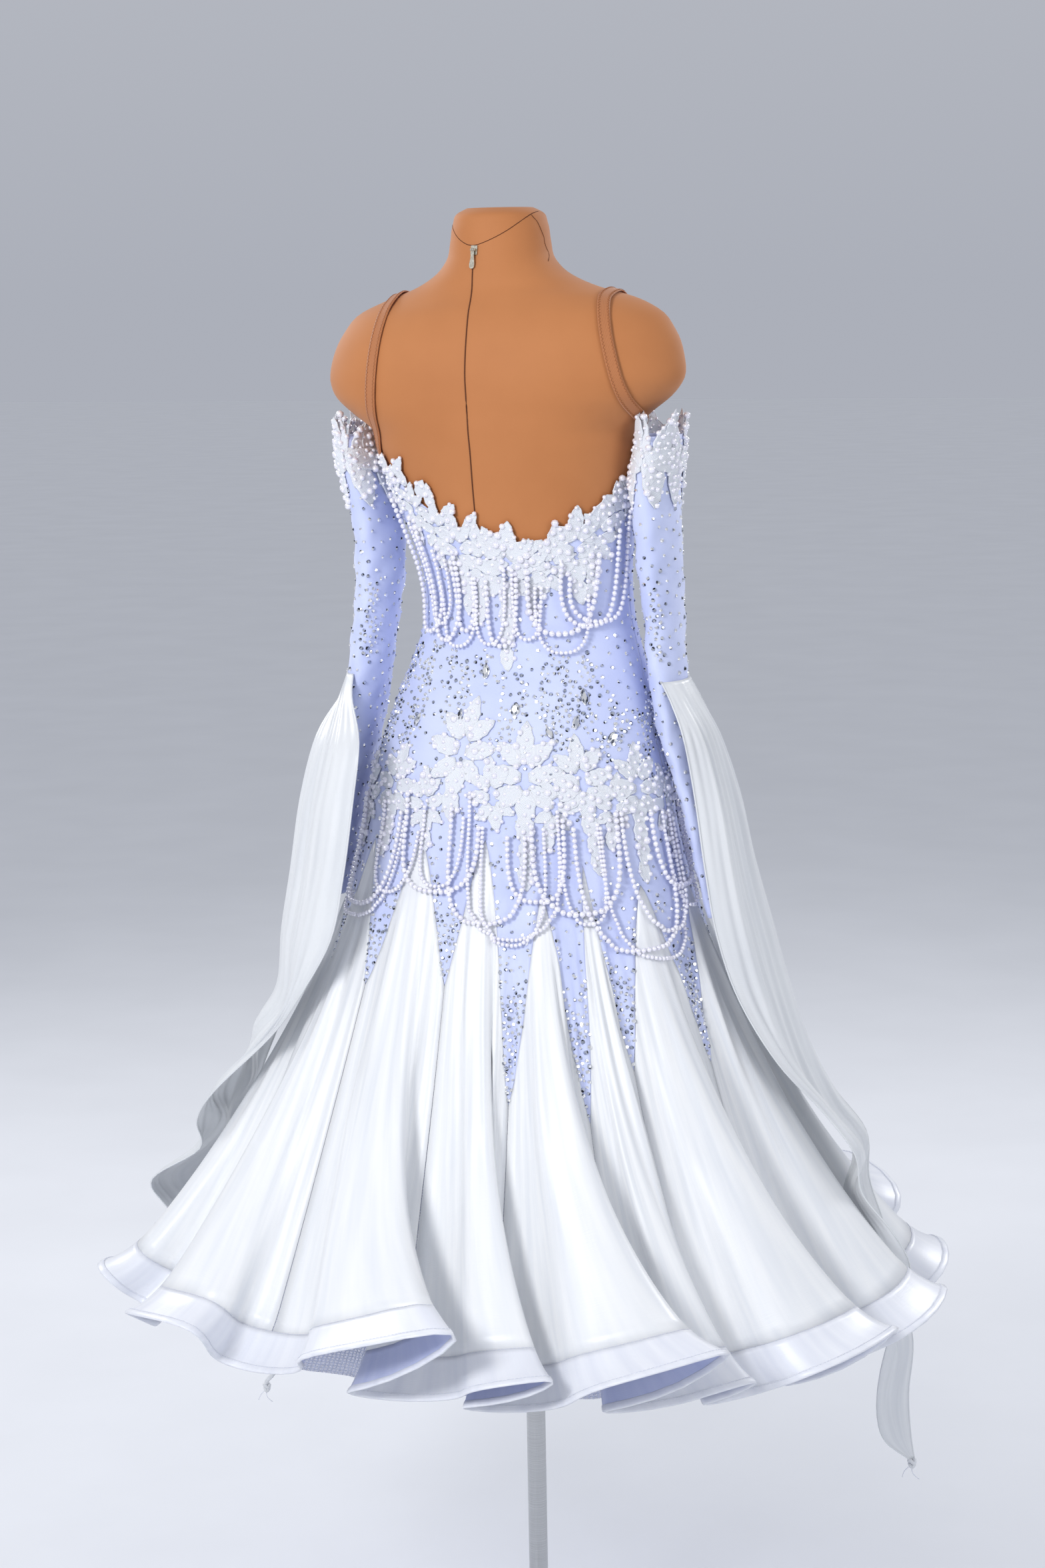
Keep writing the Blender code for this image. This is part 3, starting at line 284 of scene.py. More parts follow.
def wave_value(column, t):
    u = t - 0.5
    k = np.floor(u).astype(int)
    f = (1 - np.cos(pi * (u - k))) / 2
    return WAVES[k % COUNT, column] * (1 - f) + WAVES[(k + 1) % COUNT, column] * f


SLICES = np.linspace(0, 1, 97)


def skirt_lines(t):
    """For each t, the line of cloth from the hip to the hem, which keeps its length however it bends."""
    tt, s = np.meshgrid(t.ravel(), SLICES, indexing="ij")
    turn = 2 * pi * (tt - np.floor(tt))
    hip = seam_angle(0, tt)
    phi = hip + (seam_angle(1, tt) - hip) * s ** 1.3
    phi = phi + (wave_value(4, tt) * np.sin(2 * turn) - wave_value(3, tt) * np.cos(turn)) * s ** 2.2
    theta = np.radians(VIEW + phi)
    start = form_point(theta, np.full_like(theta, HIP_Z), 0.0)[..., :2]
    start = start * (1 + (BODY_GAP + CREPE / 2) / np.linalg.norm(start, axis=-1, keepdims=True))
    out = 0.012 * np.clip((s - 0.88) / 0.12, 0, 1) ** 2 - np.cos(turn) * wave_value(2, tt) / 1000 * s ** 1.8
    ray = np.stack([np.cos(theta), np.sin(theta)], -1)
    flat = start + (wave_value(5, tt)[..., None] / 1000 * ray - start) * (s ** 1.35)[..., None] + out[..., None] * ray
    step = SLANT / (len(SLICES) - 1)
    fall = np.sqrt(np.maximum(step ** 2 - (np.diff(flat, axis=1) ** 2).sum(-1), (0.25 * step) ** 2))
    z = HIP_Z - np.concatenate([np.zeros((tt.shape[0], 1)), np.cumsum(fall, axis=1)], axis=1)
    return np.concatenate([flat, z[..., None]], -1)


def skirt_point(t, s):
    t, s = np.broadcast_arrays(np.asarray(t, float), np.asarray(s, float))
    once, row = np.unique(t.ravel().round(6), return_inverse=True)
    lines = skirt_lines(once)
    where = np.clip(s.ravel(), 0, 1) * (len(SLICES) - 1)
    low = np.minimum(where.astype(int), len(SLICES) - 2)
    f = (where - low)[:, None]
    return (lines[row, low] * (1 - f) + lines[row, low + 1] * f).reshape(t.shape + (3,))


def body_point(t, z):
    """Points of the middle of the body's cloth, above the hip."""
    theta = np.radians(VIEW + seam_angle(0, t))
    p = form_point(theta, z, BUST_DRESS)
    n = form_normal(theta, z, BUST_DRESS) * np.array([1, 1, 0.5])
    ease = np.clip((z - HIP_Z) / 0.05, 0, 1)[..., None]
    flat = unit(p * np.array([1, 1, 0]))
    return p + unit(n * ease + flat * (1 - ease)) * (BODY_GAP + CREPE / 2)


# %% [markdown]
# Loose cloth is never as even as a rule makes it. A little unevenness is added to the skirt: soft
# ridges that run down from the hip and fade out above the stiff hem band. They are a function of the
# same two numbers as the skirt, so the godets and the spikes between them still meet.

# %% Soft ridges
RIDGE_MM = 3.6

# Creases that run down from the tops of the godets; a depth below 0 is a trough.
# columns: t_top, s_top, t_low, s_low, width_t, depth_mm
CREASES = np.array([
    (1.40, 0.13, 1.24, 0.50, 0.06, 4.0), (1.62, 0.12, 1.76, 0.66, 0.07, -4.5), (2.35, 0.14, 2.20, 0.62, 0.07, 4.5),
    (2.66, 0.12, 2.74, 0.55, 0.06, -4.0), (3.40, 0.10, 3.22, 0.50, 0.06, 4.0), (3.62, 0.12, 3.78, 0.70, 0.08, -5.0),
    (4.42, 0.18, 4.30, 0.68, 0.07, 5.5), (4.60, 0.20, 4.72, 0.58, 0.06, -4.0), (5.38, 0.14, 5.24, 0.56, 0.06, -4.5),
    (5.62, 0.16, 5.74, 0.74, 0.08, 5.0), (6.40, 0.16, 6.26, 0.60, 0.07, 5.0), (6.62, 0.14, 6.80, 0.66, 0.07, -5.0),
    (7.36, 0.12, 7.20, 0.52, 0.06, 4.5), (7.60, 0.14, 7.72, 0.70, 0.08, 5.0), (8.34, 0.12, 8.22, 0.62, 0.06, -4.5),
    (8.64, 0.12, 8.80, 0.54, 0.07, 4.0), (9.40, 0.14, 9.28, 0.70, 0.08, 5.0), (9.66, 0.12, 9.74, 0.50, 0.06, -4.0),
    (10.38, 0.12, 10.20, 0.60, 0.07, 5.0), (10.60, 0.14, 10.76, 0.66, 0.06, -4.5), (11.42, 0.14, 11.26, 0.54, 0.06, 4.0),
    (11.64, 0.16, 11.72, 0.72, 0.08, 5.0), (12.36, 0.12, 12.24, 0.64, 0.07, -5.0), (12.62, 0.14, 12.80, 0.52, 0.06, 4.5),
    (13.40, 0.12, 13.22, 0.60, 0.07, 4.5), (13.62, 0.12, 13.74, 0.68, 0.07, -4.5), (0.38, 0.12, 0.24, 0.56, 0.06, -4.0),
    (0.60, 0.12, 0.76, 0.64, 0.08, 4.5),
])


def skirt_fold(t, s):
    """The skirt's points with soft ridges added, square to the cloth."""
    p = skirt_point(t, s)
    d = 0.004
    n = unit(np.cross(skirt_point(t, s + d) - skirt_point(t, s - d), skirt_point(t + d, s) - skirt_point(t - d, s)))
    high = np.clip((s - 0.12) / 0.25, 0, 1) * np.clip((0.90 - s) / 0.25, 0, 1)
    beat = 0.5 * np.sin(2 * pi * (2.63 * t + 0.35 * s)) + 0.35 * np.sin(2 * pi * (5.17 * t - 0.5 * s) + 1.0)
    beat = beat + 0.3 * np.sin(2 * pi * (8.31 * t + 0.9 * s * np.sin(1.7 * t))) * np.clip((0.75 - s) / 0.3, 0, 1)
    crease = 0
    for t_top, s_top, t_low, s_low, width, depth in CREASES:
        along = np.clip((s - s_top) / (s_low - s_top), 0, 1)
        middle = t_top + (t_low - t_top) * along
        aside = (t - middle + COUNT / 2) % COUNT - COUNT / 2
        crease = crease + depth * np.sin(pi * along) ** 0.7 * np.exp(-(aside / (width * (0.5 + 0.5 * along))) ** 2)
    return p + n * ((RIDGE_MM * high * beat + crease) / 1000)[..., None]


# %% [markdown]
# ## Cloth from a grid of points
# Every cloth piece below is a grid of points, thickened by a Solidify modifier. The grid runs down in
# columns, from left to right as seen from outside, so the faces point outwards. Its UV map is the
# distance across and down the cloth in metres, which the satin's streaks and ribs follow.


# %% Cloth helpers
def cloth_mesh(name, grid, ring=False):
    """A mesh with its UV map from a grid of points, columns first."""
    cols, rows = grid.shape[:2]
    closed = np.concatenate([grid, grid[:1]]) if ring else grid
    over = np.linalg.norm(np.diff(closed, axis=0), axis=-1).mean(1)
    u = np.concatenate([[0], np.cumsum(over)])
    down = np.linalg.norm(np.diff(grid, axis=1), axis=-1).mean(0)
    v = -np.concatenate([[0], np.cumsum(down)])
    faces, uvs = [], []
    for i in range(cols if ring else cols - 1):
        j = (i + 1) % cols
        for k in range(rows - 1):
            faces.append((i * rows + k, i * rows + k + 1, j * rows + k + 1, j * rows + k))
            uvs += [(u[i], v[k]), (u[i], v[k + 1]), (u[i + 1], v[k + 1]), (u[i + 1], v[k])]
    mesh = bpy.data.meshes.new(name)
    mesh.from_pydata(grid.reshape(-1, 3).tolist(), [], faces)
    mesh.uv_layers.new(name="cloth").data.foreach_set("uv", np.array(uvs).ravel())
    mesh.polygons.foreach_set("use_smooth", [True] * len(faces))
    return mesh


SHEETS = []


def cut_size(grid, ring=False):
    """The width and length of a grid of cloth, measured along it."""
    closed = np.concatenate([grid, grid[:1]]) if ring else grid
    wide = np.linalg.norm(np.diff(closed, axis=0), axis=-1).sum(0).max()
    return wide, np.linalg.norm(np.diff(grid, axis=1), axis=-1).sum(1).max()


def put(name, mesh, *materials):
    """An object for a mesh, with its materials. It rides on the dress."""
    mesh.materials.clear()
    for mat in materials:
        mesh.materials.append(mat)
    piece = bpy.data.objects.new(name, mesh)
    scene.collection.objects.link(piece)
    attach(piece, BODY)
    return piece


def thicken(piece, thickness, inside=0):
    """Gives cloth its thickness. inside counts on to the material of the inner face."""
    mod = piece.modifiers.new("thickness", "SOLIDIFY")
    mod.thickness = thickness
    mod.offset = 0.0
    mod.use_rim = True
    mod.material_offset = inside
    return piece


def clean(mesh):
    """Merges double points, as where all columns of a spike meet in its tip."""
    import bmesh
    work = bmesh.new()
    work.from_mesh(mesh)
    bmesh.ops.remove_doubles(work, verts=work.verts, dist=0.00002)
    bmesh.ops.dissolve_degenerate(work, edges=work.edges, dist=0.00002)
    work.to_mesh(mesh)
    work.free()
    return mesh


def finer(grid, times, axis, ring=False):
    """Adds points between a grid's own along one axis, on a smooth curve through all of them."""
    g = np.moveaxis(np.asarray(grid, float), axis, 0)
    n = len(g)
    x = np.arange(n * times if ring else (n - 1) * times + 1) / times
    k = np.minimum(x.astype(int), n - 1 if ring else n - 2)
    f = (x - k).reshape((-1,) + (1,) * (g.ndim - 1))
    if ring:
        at = [g[(k + d) % n] for d in (-1, 0, 1, 2)]
    else:
        long = np.concatenate([2 * g[:1] - g[1:2], g, 2 * g[-1:] - g[-2:-1]])
        at = [long[k + 1 + d] for d in (-1, 0, 1, 2)]
    m1, m2 = (at[2] - at[0]) / 2, (at[3] - at[1]) / 2
    out = at[1] + f * m1 + f ** 2 * (3 * (at[2] - at[1]) - 2 * m1 - m2) + f ** 3 * (m1 + m2 - 2 * (at[2] - at[1]))
    return np.moveaxis(out, 0, axis)


# %% [markdown]
# ## The dress form
# The form is a moulded body under a tight brown stretch cover. The cover closes at the back with a
# zip, whose seam is a thin dark line. Fine grain and a soft nap keep it from looking like plastic.

# %% Form cover
cover_mat, tree, shader = finish_of("stretch_cover_tan", roughness=0.72, sheen_weight=0.1)
place = add(tree, "ShaderNodeTexCoord").outputs["Object"]
slow = add(tree, "ShaderNodeTexNoise", {"Vector": place, "Scale": 7.0, "Detail": 3.0})
tree.links.new(ramp(tree, slow.outputs["Fac"], [(0.3, "B5723F"), (0.7, "C07C48")]), shader.inputs["Base Color"])
grain = add(tree, "ShaderNodeTexNoise", {"Vector": place, "Scale": 1300.0, "Detail": 3.0})
bump(tree, shader, grain.outputs["Fac"], 0.2, 0.45)
around = np.radians(np.arange(0, 360, 3.0))[:, None]
levels = finer(FORM[::-1, :1], 4, 0)[None, :, 0]
torso = form_point(around + 0 * levels, levels + 0 * around, BUST_FORM)
torso = np.concatenate([np.full_like(torso[:, :1], 0) + torso[:, :1].mean(0), torso, np.full_like(torso[:, :1], 0) + torso[:, -1:].mean(0)], axis=1)
cover = put("form_cover", clean(cloth_mesh("form_cover", torso, ring=True)), cover_mat)
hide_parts("form_torso")
print("form cover:", len(cover.data.polygons), "faces")


# %% [markdown]
# ## The body of the dress
# Two panels of lavender crepe, front and back. Below the hip each runs out into seven long spikes,
# and a godet is set in between each two of them.

# %% Body panels
def neck_z(phi):
    wrapped = (phi + 110) % 360 - 110
    return smooth(wrapped, NECKLINE[:, 0], NECKLINE[:, 1])


def joined(grids):
    """One mesh from several grids that share edges."""
    parts = [cloth_mesh("part", g) for g in grids]
    objects = [bpy.data.objects.new("part", m) for m in parts]
    for o in objects:
        scene.collection.objects.link(o)
    with bpy.context.temp_override(active_object=objects[0], selected_editable_objects=objects):
        bpy.ops.object.join()
    mesh = objects[0].data
    bpy.data.objects.remove(objects[0])
    return clean(mesh)


def spike_grid(k, v, u):
    """The part of spike k below the hip: v runs -1..1 across it and u runs 0..1 down to its tip."""
    tip = WAVES[k % COUNT, 6] / 1000 / SLANT
    left, right = WAVES[(k - 1) % COUNT, 7] / 1000 / SLANT, WAVES[k % COUNT, 7] / 1000 / SLANT
    mid = (left + right) / 2
    apex = mid + (np.where(v < 0, left, right) - mid) * np.abs(v)
    s = apex + (tip - apex) * u
    return k + v / 2 * (1 - np.clip(u, 0, 1) ** OPENING), s, apex


def body_grids(first, last, cells, rows):
    """The grids of a body panel: one above the hip, and one down each spike."""
    t = np.linspace(first - 0.5, last + 0.5, (last - first + 1) * cells + 1)[:, None]
    top = neck_z(seam_angle(0, t))
    z = top + (HIP_Z - top) * np.linspace(0, 1, rows)[None]
    grids = [body_point(t + 0 * z, z)]
    v = np.linspace(-1, 1, cells + 1)[:, None]
    for k in range(first, last + 1):
        _, _, apex = spike_grid(k, v, 0 * v)
        drop = np.linspace(0, 1, 5)[None]
        grids.append(skirt_fold(k + v / 2 + 0 * drop, apex * drop))
        t_in, s_in, _ = spike_grid(k, v, np.linspace(0, 1, 26)[None])
        grids.append(skirt_fold(t_in, s_in))
    return grids


for name, first, last in (("body_back", 1, 7), ("body_front", 8, 14)):
    grids = body_grids(first, last, 12, 60)
    panel = put(name + "_crepe", joined(grids), BLUE_CREPE)
    thicken(panel, CREPE)
    wide, long = cut_size(grids[0])
    SHEETS.append((panel, (wide, long + WAVES[:, 6].max() / 1000), "hung", ["form_cover"]))
    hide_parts(name)
    print(panel.name, len(panel.data.polygons), "faces")

# %% [markdown]
# ## Godets, hem band and petticoat
# The godets are white satin wedges. A band of satin, stiffened with horsehair braid, turns each
# wave of the hem into a smooth trumpet. The petticoat of stiff tulle holds the skirt out.

# %% Godets
BAND_S = 1 - BAND / SLANT
GAP = 0.0003
for k in range(COUNT):
    w = np.linspace(-1, 1, 25)[:, None]
    tips = np.where(w < 0, WAVES[k % COUNT, 6], WAVES[(k + 1) % COUNT, 6]) / 1000 / SLANT
    apex = WAVES[k % COUNT, 7] / 1000 / SLANT
    head = apex + (tips - apex) * np.abs(w) ** (1 / OPENING)
    s = head + (BAND_S - GAP / SLANT - head) * np.linspace(0, 1, 31)[None]
    grid = skirt_fold(k + 0.5 + w / 2 * (1 - 0.004) + 0 * s, s + 0.0012 / SLANT * (1 - np.linspace(0, 1, 31)[None]))
    godet = put("godet_satin_%02d" % (k + 1), cloth_mesh("godet", grid), WHITE_SATIN)
    thicken(godet, CLOTH)
    SHEETS.append((godet, cut_size(grid), "hung", ["hem_band", "body_back" if k < 7 else "body_front"]))
    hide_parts("godet_%02d" % (k + 1))

# %% Hem band
t = np.linspace(0, COUNT, COUNT * 24, endpoint=False)[:, None]
s = BAND_S + (1 - BAND_S) * np.linspace(0, 1, 9)[None]
band_grid = skirt_point(t + 0 * s, s + 0 * t)
band = put("hem_band_braid", cloth_mesh("hem_band", band_grid, ring=True), HEM_SATIN, HEM_FACING)
thicken(band, 0.0014, 1)
SHEETS.append((band, cut_size(band_grid, True), "hung", ["godet_01"]))
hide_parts("hem_band")


# %% Tube along a line
def tube(name, line, radius, sides, material, ring=False):
    """A round tube along a line of points, as a mesh with closed ends."""
    line = np.asarray(line, float)
    ahead = unit(np.roll(line, -1, 0) - np.roll(line, 1, 0)) if ring else unit(np.gradient(line, axis=0))
    side = unit(np.cross(ahead, np.array([0.03, 0.05, 1.0])))
    up = np.cross(side, ahead)
    a = 2 * pi * np.arange(sides) / sides
    loops = line[:, None] + radius * (np.cos(a)[:, None] * side[:, None] + np.sin(a)[:, None] * up[:, None])
    n = len(line)
    faces = []
    for i in range(n if ring else n - 1):
        j = (i + 1) % n
        for c in range(sides):
            d = (c + 1) % sides
            faces.append((i * sides + c, i * sides + d, j * sides + d, j * sides + c))
    if not ring:
        faces += [tuple(range(sides))[::-1], tuple((n - 1) * sides + c for c in range(sides))]
    mesh = bpy.data.meshes.new(name)
    mesh.from_pydata(loops.reshape(-1, 3).tolist(), [], faces)
    mesh.polygons.foreach_set("use_smooth", [True] * len(faces))
    return put(name, mesh, material)


# %% Binding of the hem
# columns: up the band from its edge, out from its middle, in mm
BINDING = np.array([
    (0.2, 1.5), (3.0, 1.75), (6.5, 1.6), (7.6, 1.0), (7.6, -1.0),
    (6.5, -1.6), (3.0, -1.75), (0.2, -1.5), (-1.2, -0.8), (-1.2, 0.8),
]) / 1000
wide = np.roll(band_grid, -1, 0) - np.roll(band_grid, 1, 0)
band_out = unit(np.cross(np.gradient(band_grid, axis=1), wide))
up = unit(band_grid[:, 7] - band_grid[:, 8])
loops = band_grid[:, 8][:, None] + up[:, None] * BINDING[None, :, :1] + band_out[:, 8][:, None] * BINDING[None, :, 1:]
mesh = cloth_mesh("hem_binding", np.concatenate([loops, loops[:, :1]], axis=1)[:, ::-1], ring=True)
binding = put("hem_binding", clean(mesh), HEM_SATIN)

# %% Petticoat
# Tulle is a net of six-sided holes 1.5 mm wide. At 3 mm its threads still show in the picture.
tulle, tree, shader = finish_of("stiff_tulle", roughness=0.8)
drop = add(tree, "ShaderNodeUVMap", uv_map="cloth").outputs["UV"]
cells = {"Vector": drop, "Scale": 330.0, "Randomness": 0.25}
net = add(tree, "ShaderNodeTexVoronoi", cells, voronoi_dimensions="2D", feature="DISTANCE_TO_EDGE").outputs["Distance"]
tree.links.new(ramp(tree, net, [(0.05, "DDE2F6"), (0.30, "B9C0DE")]), shader.inputs["Base Color"])
holes = {"Value": net, "From Min": 0.06, "From Max": 0.22, "To Min": 0.95, "To Max": 0.38}
tree.links.new(add(tree, "ShaderNodeMapRange", holes).outputs[0], shader.inputs["Alpha"])
waist_t = np.radians(np.arange(90, 450, 2.5))
waist = form_point(waist_t, np.full_like(waist_t, 0.965), BUST_FORM)
theta, reach = np.arctan2(waist[:, 1], waist[:, 0])[:, None], np.hypot(waist[:, 0], waist[:, 1])[:, None] + 0.0014
f = np.linspace(0, 1, 25)[None]
radius = reach + (0.352 - reach) * f ** 1.3 + 0.012 * f ** 1.5 * np.cos(12 * theta)
grid = np.stack([radius * np.cos(theta), radius * np.sin(theta), 0.965 - 0.503 * f + 0 * theta], -1)
petticoat = put("petticoat_tulle", cloth_mesh("petticoat", grid, ring=True), tulle)
thicken(petticoat, 0.0006)
SHEETS.append((petticoat, cut_size(grid, True), "hung", ["form_cover"]))
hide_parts("petticoat")

# %% [markdown]
# ## Sleeves and floats
# The sleeves are separate tubes of crepe that hang empty at the sides. From each elbow falls a float,
# a long scarf of thin satin whose rolled edge shows as a fine cord.

# %% Sleeves
# columns: z, x_left, half_left, x_right, half_right, half_deep
SLEEVE = np.array([
    (1.452, 0.1884, 0.0200, 0.1654, 0.0200, 0.046), (1.430, 0.1868, 0.0220, 0.1634, 0.0220, 0.050),
    (1.390, 0.1760, 0.0225, 0.1596, 0.0225, 0.051), (1.345, 0.168, 0.0225, 0.163, 0.0215, 0.050),
    (1.300, 0.168, 0.0225, 0.165, 0.0205, 0.048), (1.250, 0.173, 0.0215, 0.170, 0.0185, 0.046),
    (1.195, 0.181, 0.0205, 0.173, 0.0175, 0.045), (1.140, 0.190, 0.0180, 0.180, 0.0170, 0.044),
    (1.080, 0.201, 0.0150, 0.197, 0.0150, 0.043), (1.020, 0.212, 0.0140, 0.211, 0.0135, 0.042),
    (0.965, 0.223, 0.0130, 0.223, 0.0130, 0.041), (0.925, 0.231, 0.0120, 0.231, 0.0120, 0.040),
])
SLEEVE_COLS = 14


def sleeve_ring(side, z, extra=0.0):
    cols = [np.interp(-z, -SLEEVE[:, 0], SLEEVE[:, k]) for k in range(1, 6)]
    x = cols[0] if side > 0 else cols[2]
    half = (cols[1] if side > 0 else cols[3]) + extra
    a = np.radians(360 / SLEEVE_COLS * np.arange(SLEEVE_COLS))
    fold = 1 + 0.10 * np.cos(3 * a + 2.0 + 9.0 * (1.45 - z))
    deep = (cols[4] + extra) * np.sin(a) * (1 + 0.03 * np.sin(14 * z))
    return np.stack([side * x + half * np.cos(a) * fold, 0.004 + deep, np.full(SLEEVE_COLS, z)], -1)


sleeve_grids = {}
for name, side in (("sleeve_left", 1), ("sleeve_right", -1)):
    grid = np.array([sleeve_ring(side, z) for z in SLEEVE[:, 0]]).transpose(1, 0, 2)
    grid = finer(finer(grid, 4, 0, ring=True), 8, 1)
    a = 2 * pi * np.arange(len(grid)) / len(grid)
    z = grid[..., 2]
    crease = 0.0012 * np.sin(3 * a[:, None] + 95 * z) * np.sin(40 * z) + 0.0008 * np.sin(5 * a[:, None] - 150 * z)
    fade = np.clip((1.40 - z) / 0.05, 0, 1)
    grid = grid + np.stack([np.cos(a), np.sin(a), 0 * a], -1)[:, None] * (crease * fade)[..., None]
    sleeve_grids[side] = grid
    sleeve = put(name + "_crepe", cloth_mesh(name, grid, ring=True), BLUE_CREPE)
    thicken(sleeve, CREPE)
    SHEETS.append((sleeve, cut_size(grid, True), "hung", ["lace_cap" + name[6:]]))
    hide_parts(name)

# %% Floats
# columns: z, a_right, a_back, m_right, m_back, b_right, b_back
FLOAT_LEFT = np.array([
    (1.185, -190, 0, -206, -40, -200, -75), (1.160, -186, 50, -214, 0, -216, -60), (1.120, -182, 95, -222, 40, -228, -30),
    (1.050, -190, 110, -238, 50, -242, -20), (0.970, -202, 120, -250, 60, -256, -20), (0.900, -218, 120, -264, 60, -268, -40),
    (0.830, -250, 90, -274, 40, -278, -60), (0.775, -276, 40, -288, 0, -288, -90), (0.700, -318, -10, -322, -70, -300, -140),
    (0.650, -345, -60, -338, -125, -302, -180), (0.600, -365, -115, -348, -175, -312, -225), (0.550, -398, -150, -374, -210, -332, -262),
    (0.510, -428, -190, -394, -250, -352, -300), (0.465, -408, -235, -380, -275, -347, -315), (0.410, -385, -260, -365, -290, -342, -318),
    (0.350, -363, -282, -349, -302, -334, -320), (0.300, -342, -303, -336, -311, -329, -320), (0.272, -329, -312, -327, -315, -325, -318),
])
FLOAT_RIGHT = np.array([
    (1.185, 170, 95, 190, 75, 200, 40), (1.160, 174, 110, 200, 84, 208, 38), (1.120, 174, 125, 206, 85, 214, 30),
    (1.050, 186, 118, 224, 80, 236, 10), (0.970, 196, 130, 240, 85, 254, 0), (0.900, 208, 135, 257, 88, 273, -10),
    (0.830, 228, 138, 277, 85, 291, -15), (0.760, 258, 138, 301, 85, 313, -15), (0.700, 303, 120, 331, 75, 343, 10),
    (0.650, 333, 118, 347, 66, 358, 26), (0.600, 369, 112, 354, 68, 384, 46), (0.550, 405, 99, 372, 88, 399, 66),
    (0.510, 425, 88, 376, 99, 407, 70), (0.480, 421, 103, 398, 104, 416, 78), (0.420, 400, 93, 412, 87, 430, 80),
    (0.360, 388, 96, 404, 90, 425, 82), (0.315, 394, 100, 411, 93, 427, 85), (0.285, 426, 92, 428, 90, 431, 88),
])
FLOAT_CELLS, FLOAT_OFF = 8, 0.0017
RIGHT_WAY = np.array([-np.sin(radians(VIEW)), np.cos(radians(VIEW))])
BACK_WAY = np.array([np.cos(radians(VIEW)), np.sin(radians(VIEW))])


def envelope():
    """The skirt's outermost radius in cells of 2 degrees and 10 mm, each widened by its neighbours."""
    points = skirt_lines(np.linspace(0, COUNT, COUNT * 24, endpoint=False)).reshape(-1, 3)
    cells = np.zeros((180, 70))
    a = (np.degrees(np.arctan2(points[:, 1], points[:, 0])) % 360 / 2).astype(int) % 180
    h = np.clip(((points[:, 2] - 0.40) / 0.01).astype(int), 0, 69)
    np.maximum.at(cells, (a, h), np.hypot(points[:, 0], points[:, 1]))
    for _ in range(2):
        wide = np.maximum(np.maximum(np.roll(cells, 1, 0), cells), np.roll(cells, -1, 0))
        tall = np.pad(wide, ((0, 0), (1, 1)), "edge")
        cells = np.maximum(np.maximum(tall[:, :-2], tall[:, 1:-1]), tall[:, 2:])
    return cells


ENVELOPE = envelope()


def outer_radius(phi, z):
    """The outermost radius of the skirt at an angle from VIEW and a height."""
    a = (VIEW + phi) % 360 / 2
    i, f = a.astype(int), a - a.astype(int)
    h = np.clip((np.maximum(z, 0.475) - 0.40) / 0.01, 0, 68.99)
    j, g = h.astype(int), h - h.astype(int)
    at = lambda i, j: ENVELOPE[i % 180, j]
    return (at(i, j) * (1 - f) + at(i + 1, j) * f) * (1 - g) + (at(i, j + 1) * (1 - f) + at(i + 1, j + 1) * f) * g


def float_grid(table, cover_above, side, first, way):
    """The frame's own float: level curves through three points, kept off the skirt, sewn to the sleeve."""
    z = table[:, 0]
    ends = [table[:, k, None] / 1000 * RIGHT_WAY + table[:, k + 1, None] / 1000 * BACK_WAY for k in (1, 3, 5)]
    bend = 2 * ends[1] - (ends[0] + ends[2]) / 2
    grid = []
    for i in range(FLOAT_CELLS + 1):
        u = i / FLOAT_CELLS
        flat = (1 - u) ** 2 * ends[0] + 2 * u * (1 - u) * bend + u ** 2 * ends[2]
        reach = np.hypot(flat[:, 0], flat[:, 1])
        phi = np.degrees(np.arctan2(flat[:, 1], flat[:, 0])) - VIEW
        cover = np.max([np.where(z + d < HIP_Z - 0.012, outer_radius(phi, z + d), 0) for d in (-0.030, -0.015, 0, 0.015, 0.030)], axis=0)
        wanted = np.where(z > cover_above, np.maximum(reach, cover + 0.007), reach)
        fall = np.clip((1.185 - z) / 0.12, 0, 1) * np.clip((z - 0.30) / 0.2, 0, 1)
        flat = flat * ((wanted + 0.0035 * (1 - np.cos(4 * pi * u)) * fall) / reach)[:, None]
        corner = first + way * i / 2
        low = int(np.floor(corner))
        rings = sleeve_ring(side, z[0], FLOAT_OFF), sleeve_ring(side, z[1], FLOAT_OFF + 0.003)
        here, after = low % SLEEVE_COLS, (low + 1) % SLEEVE_COLS
        sewn = [r[here] * (1 - corner + low) + r[after] * (corner - low) for r in rings]
        flat[0] = sewn[0][:2]
        flat[1] = 0.6 * sewn[1][:2] + 0.4 * flat[1]
        grid.append(np.concatenate([flat, (z + 0.006 * np.cos(2 * pi * u) * fall)[:, None]], 1))
    grid = np.array(grid)
    return grid[::-1] if np.cross(grid[0][3, :2], grid[-1][3, :2]) < 0 else grid


